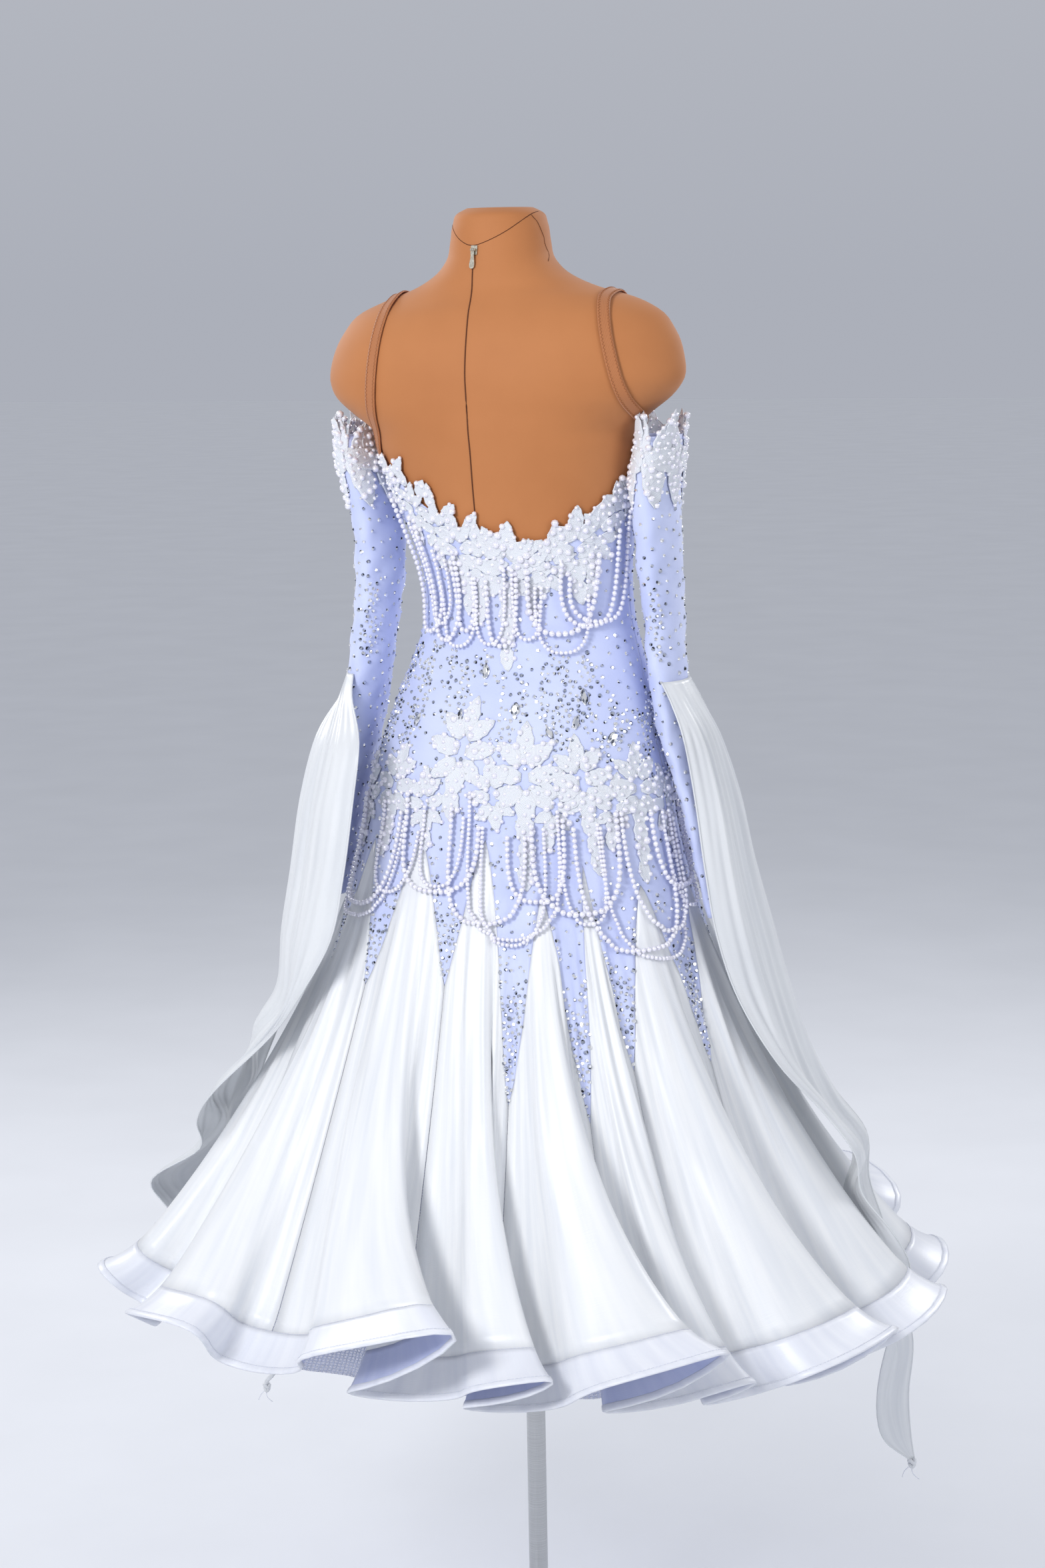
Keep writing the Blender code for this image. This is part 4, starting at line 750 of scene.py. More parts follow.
FLOAT_TIPS = {}
for name, table, cover, side, first, way in (("float_left", FLOAT_LEFT, 0.44, 1, 3, -1), ("float_right", FLOAT_RIGHT, 0.62, -1, 4, 1)):
    grid = finer(finer(float_grid(table, cover, side, first, way), 8, 0), 6, 1)
    u = np.linspace(0, 1, len(grid))[:, None]
    z = grid[..., 2]
    n = unit(np.cross(np.gradient(grid, axis=1), np.gradient(grid, axis=0)))
    gather = 0.5 * np.sin(2 * pi * (6.5 * u + 0.8 * z)) + 0.4 * np.sin(2 * pi * (11.0 * u - 1.5 * z) + 1.3)
    grid = grid + n * (0.0022 * gather * np.clip((1.17 - z) / 0.05, 0, 1) * np.clip((z - 0.42) / 0.25, 0, 1) * np.sin(pi * u) ** 0.5)[..., None]
    piece = put(name + "_satin", cloth_mesh(name, grid), FLOAT_SATIN)
    thicken(piece, 0.0006)
    SHEETS.append((piece, cut_size(grid), "hung", [name.replace("float", "sleeve")]))
    FLOAT_TIPS[name] = grid[:, -1].mean(0)
    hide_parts(name)
    for edge in (0, -1):
        roll_edge = tube("%s_rolled_edge_%d" % (name, edge % 2), grid[edge], 0.0011, 6, FLOAT_SATIN)

# %% [markdown]
# ## A map of the cloth
# Lace, crystals and pearls all lie on cloth. So one helper turns a grid of points into a map that
# gives the point of the cloth at any place, lifted off it as far as asked.


# %% Cloth maps
def cloth_map(points, u0, du, v0, dv):
    """place(u, v, lift) for a closed ring of columns; u and v are in the grid's own units."""
    wide = np.roll(points, -1, 0) - np.roll(points, 1, 0)
    normals = unit(np.cross(np.gradient(points, axis=1), wide))
    n, m = points.shape[:2]

    def place(u, v, lift=0.0):
        x, y = np.broadcast_arrays((np.asarray(u, float) - u0) / du, (np.asarray(v, float) - v0) / dv)
        i = np.floor(x).astype(int)
        j = np.clip(np.floor(y).astype(int), 0, m - 2)
        f, g = (x - i)[..., None], (y - j)[..., None]
        mix = lambda a, g: (a[i % n, j] * (1 - f) + a[(i + 1) % n, j] * f) * (1 - g) + (a[i % n, j + 1] * (1 - f) + a[(i + 1) % n, j + 1] * f) * g
        return mix(points, g) + unit(mix(normals, np.clip(g, 0, 1))) * np.asarray(lift)[..., None]

    return place


phis = np.arange(-112, 248, 1.0)
t = np.linspace(0, COUNT, 1080, endpoint=False)[:, None]
ups = np.arange(0.416, 0, -0.004)[None]
downs = np.arange(0, 0.240, 0.004)[None]
raw = np.concatenate([body_point(t + 0 * ups, HIP_Z + ups + 0 * t), skirt_fold(t + 0 * downs, downs / SLANT + 0 * t)], axis=1)
seen = np.degrees(np.arctan2(raw[..., 1], raw[..., 0])) - VIEW
grid = np.array([[np.interp(phis, seen[:, r], raw[:, r, k], period=360) for k in range(3)] for r in range(raw.shape[1])]).transpose(2, 0, 1)
on_map = cloth_map(grid, -112, 1.0, -0.416, 0.004)


def on_dress(phi, z, lift=0.0):
    """A point on the dress at an angle and a height above the floor; below the hip it follows the slant."""
    return on_map(phi, HIP_Z - np.asarray(z, float), np.asarray(lift) + CREPE / 2)


def sleeve_map(side):
    grid = sleeve_grids[side]
    rows = np.arange(1.452, 0.926, -0.006)
    even = np.array([[np.interp(-rows, -column[:, 2], column[:, k]) for k in range(3)] for column in grid]).transpose(0, 2, 1)
    place = cloth_map(even, 0, 360 / len(grid), 1.452, -0.006)
    return lambda u, z, lift=0.0: place(u, z, np.asarray(lift) + CREPE / 2)


on_sleeve = {side: sleeve_map(side) for side in (1, -1)}

# %% [markdown]
# ## Lace
# The lace is guipure: thick leaves of satin stitch with a corded edge, sewn down leaf by leaf. One
# leaf is a small grid with a raised rim and ribs. Sprays of leaves are laid on the map in short
# tables, so each spray bends with the cloth below it.

# %% Lace finish
lace_mat, tree, shader = finish_of("guipure_lace", roughness=0.75, sheen_weight=0.2, subsurface_weight=0.05)
across_leaf, along_leaf = add(tree, "ShaderNodeSeparateXYZ", {0: add(tree, "ShaderNodeUVMap", uv_map="cloth").outputs["UV"]}).outputs[:2]
aside = add(tree, "ShaderNodeMath", {0: across_leaf}, operation="ABSOLUTE").outputs[0]
slant = add(tree, "ShaderNodeMath", {0: along_leaf, 1: aside}, operation="SUBTRACT").outputs[0]
rib = add(tree, "ShaderNodeMath", {0: slant, 1: 2 * pi / 0.0019}, operation="MULTIPLY").outputs[0]
rib = add(tree, "ShaderNodeMath", {0: rib}, operation="SINE").outputs[0]
rib = add(tree, "ShaderNodeMapRange", {"Value": rib, "From Min": -1.0}).outputs[0]
# The colour is darker where the rib pattern is low, where the bump sinks: painted shade in the grooves between the
# stitches.
tree.links.new(ramp(tree, rib, [(0.0, "D6DAE3"), (0.6, "F3F4F8")]), shader.inputs["Base Color"])
bump(tree, shader, rib, 0.5, 0.6)

# %% One leaf
# columns: distance from the vein to the rim (-1..1), height above the cloth in mm
LEAF_SECTION = np.array([
    (-1.0, 0.2), (-0.94, 1.3), (-0.80, 1.5), (-0.66, 0.9), (-0.30, 1.3), (0.0, 0.7), (0.30, 1.3), (0.66, 0.9),
    (0.80, 1.5), (0.94, 1.3), (1.0, 0.2),
])


def leaf(place, u, v, turn, length, width, lift, curl=0.12, rise=0.0):
    """A leaf's points and its UVs. turn is clockwise from straight up; rise lifts the tip off the cloth."""
    y = np.linspace(0, 1, 8)[None]
    x = LEAF_SECTION[:, :1]
    half = width / 2 * np.sin(pi * (0.06 + 0.93 * y) ** 0.85) ** 0.7 * (1 + 0.07 * np.cos(7 * pi * y))
    a = x * half + curl * length * y ** 2
    b = y * length + 0 * x
    turn = radians(turn)
    right, up = a * np.cos(turn) + b * np.sin(turn), b * np.cos(turn) - a * np.sin(turn)
    degree = np.linalg.norm(place(u + 0.5, v) - place(u - 0.5, v))
    high = lift + LEAF_SECTION[:, 1:] / 1000 * np.sin(pi * (0.04 + 0.92 * y)) ** 0.4 + rise * y ** 2
    return place(u + right / degree, v + up, high), np.stack([x * half, b], -1)


STRIP_FILL = 0.6  # the share of a strip of lace that its leaves take


def leaves_piece(name, leaves, replaced, under):
    """One mesh from many leaves, each thickened to 0.8 mm; its cut is the strip of lace that they come out of."""
    verts, faces, uvs = [], [], []
    for points, uv in leaves:
        base = len(verts)
        cols, rows = points.shape[:2]
        verts += points.reshape(-1, 3).tolist()
        for i in range(cols - 1):
            for k in range(rows - 1):
                quad = [(i, k), (i + 1, k), (i + 1, k + 1), (i, k + 1)]
                faces.append([base + c * rows + r for c, r in quad])
                uvs += [uv[c, r] for c, r in quad]
    mesh = bpy.data.meshes.new(name)
    mesh.from_pydata(verts, [], faces)
    mesh.uv_layers.new(name="cloth").data.foreach_set("uv", np.array(uvs).ravel())
    mesh.polygons.foreach_set("use_smooth", [True] * len(faces))
    piece = put(name, mesh, lace_mat)
    mod = piece.modifiers.new("thickness", "SOLIDIFY")
    mod.thickness = 0.0008
    mod.offset = -1
    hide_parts(replaced)
    area = sum(face.area for face in mesh.polygons)
    deep = np.ptp(np.array(verts)[:, 2])
    SHEETS.append((piece, (area / (STRIP_FILL * deep), deep), "laid", [under]))
    print(name, len(leaves), "leaves,", len(faces), "faces")
    return piece


# %% Sprays of leaves
def spray(place, phi, z, size, tail, turn=0.0):
    """A spray: a leaf at the top, three pairs at the sides, and a tail of leaves that hang one below another."""
    plan = [(0.0, 0.30, 0, 0.66, 0.34)]
    for side in (-1, 1):
        plan += [(0.05 * side, 0.26, 46 * side, 0.56, 0.30), (0.06 * side, 0.06, 84 * side, 0.58, 0.31), (0.05 * side, -0.12, 122 * side, 0.50, 0.30)]
    plan += [(0.05 * (-1) ** i, -0.16 - 0.40 * i, 180 + 14 * (-1) ** i, 0.58 - 0.04 * i, 0.36 - 0.03 * i) for i in range(tail)]
    degree = np.linalg.norm(place(phi + 0.5, z) - place(phi - 0.5, z))
    made = []
    for n, (x, y, way, length, width) in enumerate(plan):
        a = radians(turn)
        right, up = x * np.cos(a) + y * np.sin(a), y * np.cos(a) - x * np.sin(a)
        curl = 0.10 * (-1) ** n
        made.append(leaf(place, phi + right * size / degree, z + up * size, turn + way, length * size, width * size, 0.0004 + 0.00025 * (n % 5), curl))
    return made


def edging(place, start, end, step, z_of, size):
    """Small petals along an edge, leaning to either side in turn."""
    made = []
    for n, phi in enumerate(np.arange(start, end, step)):
        lean = (-32, 24, -6, 38)[n % 4]
        made.append(leaf(place, phi, z_of(phi) - 0.45 * size, lean, size * (1.0 + 0.25 * (n % 3 == 0)), size * 0.62, 0.0003 + 0.0002 * (n % 3), 0.15))
    return made


# columns: phi, z, size_mm, leaves in the tail, turn
HIP_SPRAYS = [
    (-90, 1.050, 56, 2, 0), (-69, 1.066, 54, 3, 4), (-51, 1.050, 46, 2, -8), (-35, 1.108, 66, 2, 6), (-16, 1.062, 48, 1, -10),
    (0, 1.082, 66, 4, 0), (13, 1.052, 44, 2, 14), (25, 1.078, 56, 4, -6), (36, 1.050, 42, 2, 10), (47, 1.066, 56, 4, 4), (61, 1.046, 48, 3, -6),
    (82, 1.070, 58, 3, 4), (104, 1.086, 62, 2, -6), (124, 1.062, 54, 4, 6), (144, 1.084, 60, 2, 0), (164, 1.070, 62, 4, -4),
    (184, 1.088, 62, 2, 6), (203, 1.066, 54, 4, 0), (222, 1.082, 60, 2, -6), (240, 1.060, 54, 3, 4),
]
NECK_SPRAYS = [
    (-84, 1.392, 36, 1, 20), (-72, 1.372, 36, 2, 12), (-60, 1.350, 38, 2, 8), (-47, 1.328, 48, 3, -4), (-29, 1.312, 46, 3, 8),
    (-11, 1.306, 60, 4, 0), (6, 1.302, 44, 2, -6), (18, 1.308, 42, 1, 16), (33, 1.328, 54, 2, -8), (44, 1.340, 46, 3, 6),
    (54, 1.372, 34, 1, -12), (62, 1.388, 32, 1, 0),
    (80, 1.400, 38, 2, 6), (100, 1.408, 46, 2, -6), (118, 1.424, 44, 3, 0), (140, 1.416, 46, 2, 8), (160, 1.400, 52, 4, 0),
    (180, 1.416, 46, 2, -8), (202, 1.424, 44, 3, 0), (220, 1.408, 46, 2, 6), (238, 1.402, 38, 2, -6),
]
lace = []
for label, sprays in (("lace_hip", HIP_SPRAYS), ("lace_neck", NECK_SPRAYS)):
    for half, low, high in (("back", -100, 66), ("front", 66, 250)):
        leaves = [one for phi, z, size, tail, turn in sprays if low < phi < high for one in spray(on_dress, phi, z, size / 1000, tail, turn)]
        if label == "lace_neck":
            leaves += edging(on_dress, low + 3, high - 3, 6.5, neck_z, 0.023)
        lace.append(leaves_piece("%s_%s_leaves" % (label, half), leaves, "%s_%s" % (label, half), "body_" + half))

# %% Lace round the sleeve tops
for name, side in (("left", 1), ("right", -1)):
    place = on_sleeve[side]
    leaves = []
    for n in range(13):
        u = 360 / 13 * n + 9
        leaves.append(leaf(place, u, 1.432, (-24, 16, -4)[n % 3], 0.040 + 0.008 * (n % 2), 0.020, 0.0006 + 0.0003 * (n % 2), 0.16, 0.004 * (n % 3)))
        leaves.append(leaf(place, u + 12, 1.440, 180 + (20, -14)[n % 2], 0.050 + 0.016 * (n % 2), 0.024, 0.0010 + 0.0003 * (n % 3), 0.12))
        leaves.append(leaf(place, u + 4, 1.425, 90 + (-20, 10, 170)[n % 3], 0.034, 0.019, 0.0020, 0.10))
    lace.append(leaves_piece("lace_cap_%s_leaves" % name, leaves, "lace_cap_%s" % name, "sleeve_%s" % name))

# %% [markdown]
# ## Crystals and pearls
# Flat-backed crystals are glued on one by one, close together in lines that drip down the body and
# thinly everywhere else. A Geometry Nodes tree scatters them. Its Poisson method keeps a smallest
# distance between two stones, and an attribute on the cloth says how many of them to keep.


# %% Helpers for Geometry Nodes
def new_tree(name, *inputs):
    """A node group with a Geometry input and output and named inputs. Returns tree, inputs, output."""
    tree = bpy.data.node_groups.new(name, "GeometryNodeTree")
    tree.interface.new_socket("Geometry", in_out="INPUT", socket_type="NodeSocketGeometry")
    for label, kind in inputs:
        tree.interface.new_socket(label, in_out="INPUT", socket_type="NodeSocket" + kind)
    tree.interface.new_socket("Geometry", in_out="OUTPUT", socket_type="NodeSocketGeometry")
    return tree, add(tree, "NodeGroupInput").outputs, add(tree, "NodeGroupOutput")


def grown(source, tree, name, **sizes):
    """Runs a tree on an object and returns the result as a plain mesh of its own."""
    mod = source.modifiers.new(name, "NODES")
    mod.node_group = tree
    for item in tree.interface.items_tree:
        if item.in_out == "INPUT" and item.name in sizes:
            mod[item.identifier] = sizes[item.name]
    source.update_tag()
    bpy.context.view_layer.update()
    graph = bpy.context.evaluated_depsgraph_get()
    mesh = bpy.data.meshes.new_from_object(source.evaluated_get(graph), preserve_all_data_layers=True, depsgraph=graph)
    source.modifiers.remove(mod)
    mesh.name = name
    print(name, len(mesh.polygons), "faces")
    return mesh


def scatter_tree(name, shape, material, smooth_shape):
    """Scatters one shape on faces, turned to stand on them, with a random size, spin and tone."""
    tree, given, out = new_tree(name, ("Spacing", "Float"), ("Tries", "Float"), ("Smallest", "Float"), ("Largest", "Float"), ("Seed", "Int"))
    wanted = add(tree, "GeometryNodeInputNamedAttribute", {"Name": "density"}, data_type="FLOAT").outputs["Attribute"]
    points = add(tree, "GeometryNodeDistributePointsOnFaces", {
        "Mesh": given["Geometry"], "Distance Min": given["Spacing"], "Density Max": given["Tries"],
        "Density Factor": wanted, "Seed": given["Seed"],
    }, distribute_method="POISSON")
    spin = add(tree, "FunctionNodeRandomValue", {3: 6.283, "Seed": given["Seed"]}, data_type="FLOAT").outputs[1]
    lean = add(tree, "FunctionNodeRandomValue", {0: (-0.16, -0.16, 0), 1: (0.16, 0.16, 0), "Seed": 5}, data_type="FLOAT_VECTOR").outputs[0]
    spin = add(tree, "ShaderNodeVectorMath", {0: lean, 1: add(tree, "ShaderNodeCombineXYZ", {"Z": spin}).outputs[0]}, operation="ADD").outputs[0]
    spin = add(tree, "FunctionNodeEulerToRotation", {0: spin}).outputs[0]
    turned = add(tree, "FunctionNodeRotateRotation", {0: points.outputs["Rotation"], 1: spin}, rotation_space="LOCAL").outputs[0]
    luck = add(tree, "FunctionNodeRandomValue", {"Seed": 7}, data_type="FLOAT").outputs[1]
    luck = add(tree, "ShaderNodeMath", {0: luck, 1: 2.2}, operation="POWER").outputs[0]
    size = add(tree, "ShaderNodeMapRange", {"Value": luck, "To Min": given["Smallest"], "To Max": given["Largest"]}).outputs[0]
    one = shape(tree)
    put_on = add(tree, "GeometryNodeInstanceOnPoints", {"Points": points.outputs["Points"], "Instance": one, "Rotation": turned, "Scale": size})
    tone = add(tree, "FunctionNodeRandomValue", {"Seed": 11}, data_type="FLOAT").outputs[1]
    store = {"Geometry": put_on.outputs[0], "Name": "tone", "Value": tone}
    toned = add(tree, "GeometryNodeStoreNamedAttribute", store, data_type="FLOAT", domain="INSTANCE")
    real = add(tree, "GeometryNodeRealizeInstances", {0: toned.outputs[0]}).outputs[0]
    real = add(tree, "GeometryNodeSetShadeSmooth", {0: real, "Shade Smooth": smooth_shape}).outputs[0]
    add(tree, "GeometryNodeSetMaterial", {"Geometry": real, "Material": material})
    tree.links.new(tree.nodes[-1].outputs[0], out.inputs[0])
    return tree


# %% Crystal finish and shape
CRYSTAL, tree, shader = finish_of("foiled_crystal", roughness=0.08, metallic=0.9, coat_weight=0.6)
tone = add(tree, "ShaderNodeAttribute", attribute_name="tone").outputs["Fac"]
facet = add(tree, "ShaderNodeAttribute", attribute_name="facet").outputs["Fac"]
both = add(tree, "ShaderNodeMath", {0: tone, 1: facet}, operation="ADD").outputs[0]
both = add(tree, "ShaderNodeMath", {0: both, 1: 0.5}, operation="MULTIPLY").outputs[0]
# The colour mixes a random value of each stone with one of each facet, from near black to white. The stones differ in
# tone at random, and the facets get painted glints and painted dark reflections.
tree.links.new(ramp(tree, both, [(0.22, "14161C"), (0.36, "6E7482"), (0.50, "C9CFDC"), (0.66, "FFFFFF")]), shader.inputs["Base Color"])


def chaton(tree):
    """A cut stone of radius 1: a flat table and eight facets. A random value on each facet paints it dark or bright:
    painted glints and painted dark reflections.
    """
    stone = add(tree, "GeometryNodeMeshCone", {"Vertices": 8, "Radius Top": 0.55, "Radius Bottom": 1.0, "Depth": 0.62}, fill_type="NGON").outputs[0]
    luck = add(tree, "FunctionNodeRandomValue", {"Seed": 3}, data_type="FLOAT").outputs[1]
    store = {"Geometry": stone, "Name": "facet", "Value": luck}
    return add(tree, "GeometryNodeStoreNamedAttribute", store, data_type="FLOAT", domain="FACE").outputs[0]


STONES = scatter_tree("crystals_on_cloth", chaton, CRYSTAL, False)

# %% [markdown]
# The drips are lines of stones that start under the lace and run down the body into the spikes. Each
# has a place, a top, a foot and a width. Where a drip passes, stones lie close; elsewhere they are
# about a centimetre apart.

# %% Where the stones lie
# columns: phi, z_top, z_low, width_deg
DRIPS = np.array([
    (-88, 1.23, 1.08, 5), (-70, 1.24, 1.10, 4), (-52, 1.22, 1.13, 3), (-38, 1.225, 1.14, 4), (-27, 1.225, 1.17, 3), (-14, 1.20, 1.11, 3),
    (-3, 1.21, 1.12, 3), (13, 1.22, 1.10, 4), (22, 1.235, 1.12, 4), (33, 1.22, 1.09, 4), (43, 1.19, 1.10, 3), (56, 1.16, 1.07, 4), (70, 1.18, 1.06, 5),
    (92, 1.24, 1.12, 5), (112, 1.23, 1.10, 4), (131, 1.25, 1.13, 4), (148, 1.24, 1.12, 4), (160, 1.27, 1.11, 4), (172, 1.24, 1.12, 4),
    (190, 1.25, 1.13, 4), (208, 1.23, 1.10, 4), (228, 1.24, 1.12, 5),
])


def stone_plan(points):
    """How closely the stones lie, from 0 to 1, at points of the body."""
    phi = np.degrees(np.arctan2(points[..., 1], points[..., 0])) - VIEW
    z = points[..., 2]
    close = np.zeros_like(z)
    for centre, top, low, width in DRIPS:
        away_deg = np.abs((phi - centre + 180) % 360 - 180 + 2.5 * np.sin(60 * z + centre))
        ends = np.clip((top - z) / 0.015, 0, 1) * np.clip((z - low) / 0.03, 0, 1)
        close = np.maximum(close, ends * np.clip(1.5 - away_deg / width, 0, 1))
    return close


def spike_plan(v, u, s):
    """On the spikes the stones crowd along the seams, and fill the lower part."""
    edge = np.clip((np.abs(v) - 0.55) / 0.3, 0, 1) * np.clip(u * 6, 0, 1)
    foot = np.clip((u - 0.35) / 0.3, 0, 1) * np.clip((1.05 - u) / 0.1, 0, 1)
    return np.clip(0.8 * edge + 1.0 * foot, 0, 1) * (0.65 + 0.35 * np.sin(90 * s + 9 * v) ** 2)


def crowded(plan):
    """The share of close stones for a plan of 0 to 1."""
    return np.clip(1.6 * plan, 0, 1)


def scattered(plan):
    """The share of thin stones for a plan of 0 to 1."""
    return 1 - np.clip(3 * plan, 0, 1)


# columns: spacing_m, tries, smallest_m, largest_m, rule
STONE_SOWINGS = [(0.0056, 150000, 0.0023, 0.0030, crowded), (0.0122, 24000, 0.0021, 0.0029, scattered)]


def stones_on(name, grids, plans, seed):
    """Close stones where a plan says so, and thin ones everywhere else, as one mesh."""
    parts = []
    for spacing, tries, small, large, rule in STONE_SOWINGS:
        sizes = {"Spacing": spacing, "Tries": float(tries), "Smallest": small, "Largest": large}
        for n, (grid, plan) in enumerate(zip(grids, plans)):
            mesh = cloth_mesh("stones", grid + 0)
            attribute = mesh.attributes.new("density", "FLOAT", "POINT")
            attribute.data.foreach_set("value", rule(plan).ravel().astype(np.float32))
            source = bpy.data.objects.new("stones", mesh)
            scene.collection.objects.link(source)
            parts.append(grown(source, STONES, "%s_%d" % (name, n), Seed=seed + n, **sizes))
            bpy.data.objects.remove(source)
    objects = [bpy.data.objects.new("part", m) for m in parts if len(m.polygons)]
    for o in objects:
        scene.collection.objects.link(o)
    with bpy.context.temp_override(active_object=objects[0], selected_editable_objects=objects):
        bpy.ops.object.join()
    mesh = objects[0].data
    bpy.data.objects.remove(objects[0])
    return put(name, mesh, CRYSTAL)


def lifted(grid, lift):
    """A grid moved outwards, square to its cloth."""
    return grid + unit(np.cross(np.gradient(grid, axis=1), np.gradient(grid, axis=0))) * lift


for name, first, last, seed in (("back", 1, 7, 10), ("front", 8, 14, 40)):
    grids, plans = [], []
    t = np.linspace(first - 0.48, last + 0.48, 7 * 12)[:, None]
    top = neck_z(seam_angle(0, t)) - 0.012
    z = top + (HIP_Z - top) * np.linspace(0, 1, 60)[None]
    grids.append(lifted(body_point(t + 0 * z, z), CREPE / 2))
    plans.append(stone_plan(grids[0]))
    for k in range(first, last + 1):
        v = np.linspace(-0.94, 0.94, 11)[:, None]
        u = np.linspace(-0.25, 0.99, 30)[None]
        t_in, s_in, apex = spike_grid(k, v, np.clip(u, 0, 1))
        s_in = np.where(u < 0, apex * (1 + u / 0.25), s_in)
        grids.append(lifted(skirt_fold(t_in, s_in), CREPE / 2))
        plans.append(spike_plan(v + 0 * u, np.clip(u, 0, 1) + 0 * v, s_in))
    stones_on("crystals_" + name, grids, plans, seed)

# %% [markdown]
# A few large navette stones sit in claw settings in the middle of the drips. Each is one closed
# shape: a pointed oval with a bevelled rim, and a table on top.

# %% Large stones
# columns: phi, z, length_mm, width_mm, turn
NAVETTES = [
    (-66, 1.141, 13, 7, 8), (-27, 1.197, 15, 8, -6), (-5, 1.157, 14, 9, 10), (13, 1.133, 13, 7, -20), (32, 1.170, 17, 8, 4), (26, 1.143, 14, 7, 18),
    (41, 1.126, 15, 9, 60), (-40, 1.150, 11, 6, 0), (112, 1.180, 14, 8, 0), (140, 1.190, 15, 8, 8), (160, 1.165, 17, 9, 0), (182, 1.190, 15, 8, -8), (208, 1.180, 14, 8, 0),
]
verts, faces = [], []
a = np.linspace(0, 2 * pi, 12, endpoint=False)
for phi, z, length, width, turn in NAVETTES:
    degree = np.linalg.norm(on_dress(phi + 0.5, z) - on_dress(phi - 0.5, z))
    base = len(verts)
    for size, lift in ((1.12, 0.2), (1.12, 1.6), (0.98, 2.3), (0.55, 3.6)):
        x, y = width / 2000 * size * np.sin(a) * np.abs(np.sin(a)) ** 0.35, length / 2000 * size * np.cos(a)
        right, up = x * np.cos(radians(turn)) + y * np.sin(radians(turn)), y * np.cos(radians(turn)) - x * np.sin(radians(turn))
        verts += on_dress(phi + right / degree, z + up, lift / 1000).tolist()
    for ring in range(3):
        for i in range(12):
            j = (i + 1) % 12
            faces.append((base + ring * 12 + j, base + ring * 12 + i, base + ring * 12 + 12 + i, base + ring * 12 + 12 + j))
    faces += [tuple(base + i for i in range(12)), tuple(base + 36 + i for i in range(12))[::-1]]
mesh = bpy.data.meshes.new("navettes")
mesh.from_pydata(verts, [], faces)
# Each facet gets a random value that paints it dark or bright: painted glints and painted dark reflections.
shade = 0.25 + 0.75 * np.random.default_rng(5).random(len(faces))
for label in ("facet", "tone"):
    mesh.attributes.new(label, "FLOAT", "FACE").data.foreach_set("value", shade.astype(np.float32))
put("navette_stones", mesh, CRYSTAL)
print(len(NAVETTES), "large stones")

# %% Crystals on the sleeves
for name, side in (("left", 1), ("right", -1)):
    u, z = np.meshgrid(np.arange(0, 361, 6.0), np.arange(1.40, 0.94, -0.006), indexing="ij")
    grid = on_sleeve[side](u, z, 0.0)
    facing = 112 if side > 0 else 100
    close = np.clip(1.3 - np.abs((u - facing + 180) % 360 - 180) / 22, 0, 1) * np.clip((z - 1.19) / 0.03, 0, 1) * np.clip((1.31 - z) / 0.04, 0, 1)
    stones_on("crystals_sleeve_" + name, [grid], [close * 0.9], 70 + side)

# %% [markdown]
# ## Pearls
# Glass pearls with a soft lustre lie loose on the lace, and whole strings of them hang in loops.

# %% Pearl finish and shape
PEARL, tree, shader = finish_of("glass_pearl", roughness=0.28, metallic=0.25, coat_weight=1.0, coat_roughness=0.08)
place = add(tree, "ShaderNodeTexCoord").outputs["Object"]
cloud = add(tree, "ShaderNodeTexNoise", {"Vector": place, "Scale": 160.0, "Detail": 2.0}).outputs["Fac"]
tree.links.new(ramp(tree, cloud, [(0.3, "ECEAF8"), (0.7, "FBFAFF")]), shader.inputs["Base Color"])


def bead(tree):
    return add(tree, "GeometryNodeMeshUVSphere", {"Segments": 8, "Rings": 5, "Radius": 1.0}).outputs[0]


PEARLS = scatter_tree("pearls_on_lace", bead, PEARL, True)
for n, piece in enumerate(lace):
    source = bpy.data.objects.new("lace_top", piece.data.copy())
    scene.collection.objects.link(source)
    attribute = source.data.attributes.new("density", "FLOAT", "POINT")
    attribute.data.foreach_set("value", np.ones(len(source.data.vertices), np.float32))
    cap = "cap" in piece.name
    sizes = {"Spacing": 0.0070 if cap else 0.0080, "Tries": 60000.0, "Smallest": 0.0022, "Largest": 0.0046}
    mesh = grown(source, PEARLS, piece.name.replace("leaves", "pearls"), Seed=90 + n, **sizes)
    bpy.data.objects.remove(source)
    put(piece.name.replace("leaves", "pearls"), mesh, PEARL)

# %% Pearl strings
tree, given, out = new_tree("pearls_on_strings", ("Pitch", "Float"))
line = add(tree, "GeometryNodeMeshToCurve", {"Mesh": given["Geometry"]}).outputs[0]
line = add(tree, "GeometryNodeResampleCurve", {"Curve": line, "Length": given["Pitch"]}, mode="LENGTH").outputs[0]
radius = add(tree, "ShaderNodeMath", {0: given["Pitch"], 1: 0.495}, operation="MULTIPLY").outputs[0]
beads = add(tree, "GeometryNodeInstanceOnPoints", {"Points": line, "Instance": bead(tree), "Scale": radius}).outputs[0]
beads = add(tree, "GeometryNodeRealizeInstances", {0: beads}).outputs[0]
beads = add(tree, "GeometryNodeSetShadeSmooth", {0: beads}).outputs[0]
beads = add(tree, "GeometryNodeSetMaterial", {"Geometry": beads, "Material": PEARL}).outputs[0]
tree.links.new(beads, out.inputs[0])
STRINGS = tree


def loop(phi_a, z_a, phi_b, z_b, z_low, mm, lift_mm=3.2):
    """A hanging loop: two legs that fall almost straight, joined by a round foot."""
    q = np.linspace(0, pi, 48)
    x = 0.5 - 0.5 * np.sign(np.cos(q)) * np.abs(np.cos(q)) ** 0.75
    top = z_a + (z_b - z_a) * x
    z = top - (top - z_low) * np.sin(q) ** 0.62
    return on_dress(phi_a + (phi_b - phi_a) * x, z, (lift_mm + mm / 2) / 1000)


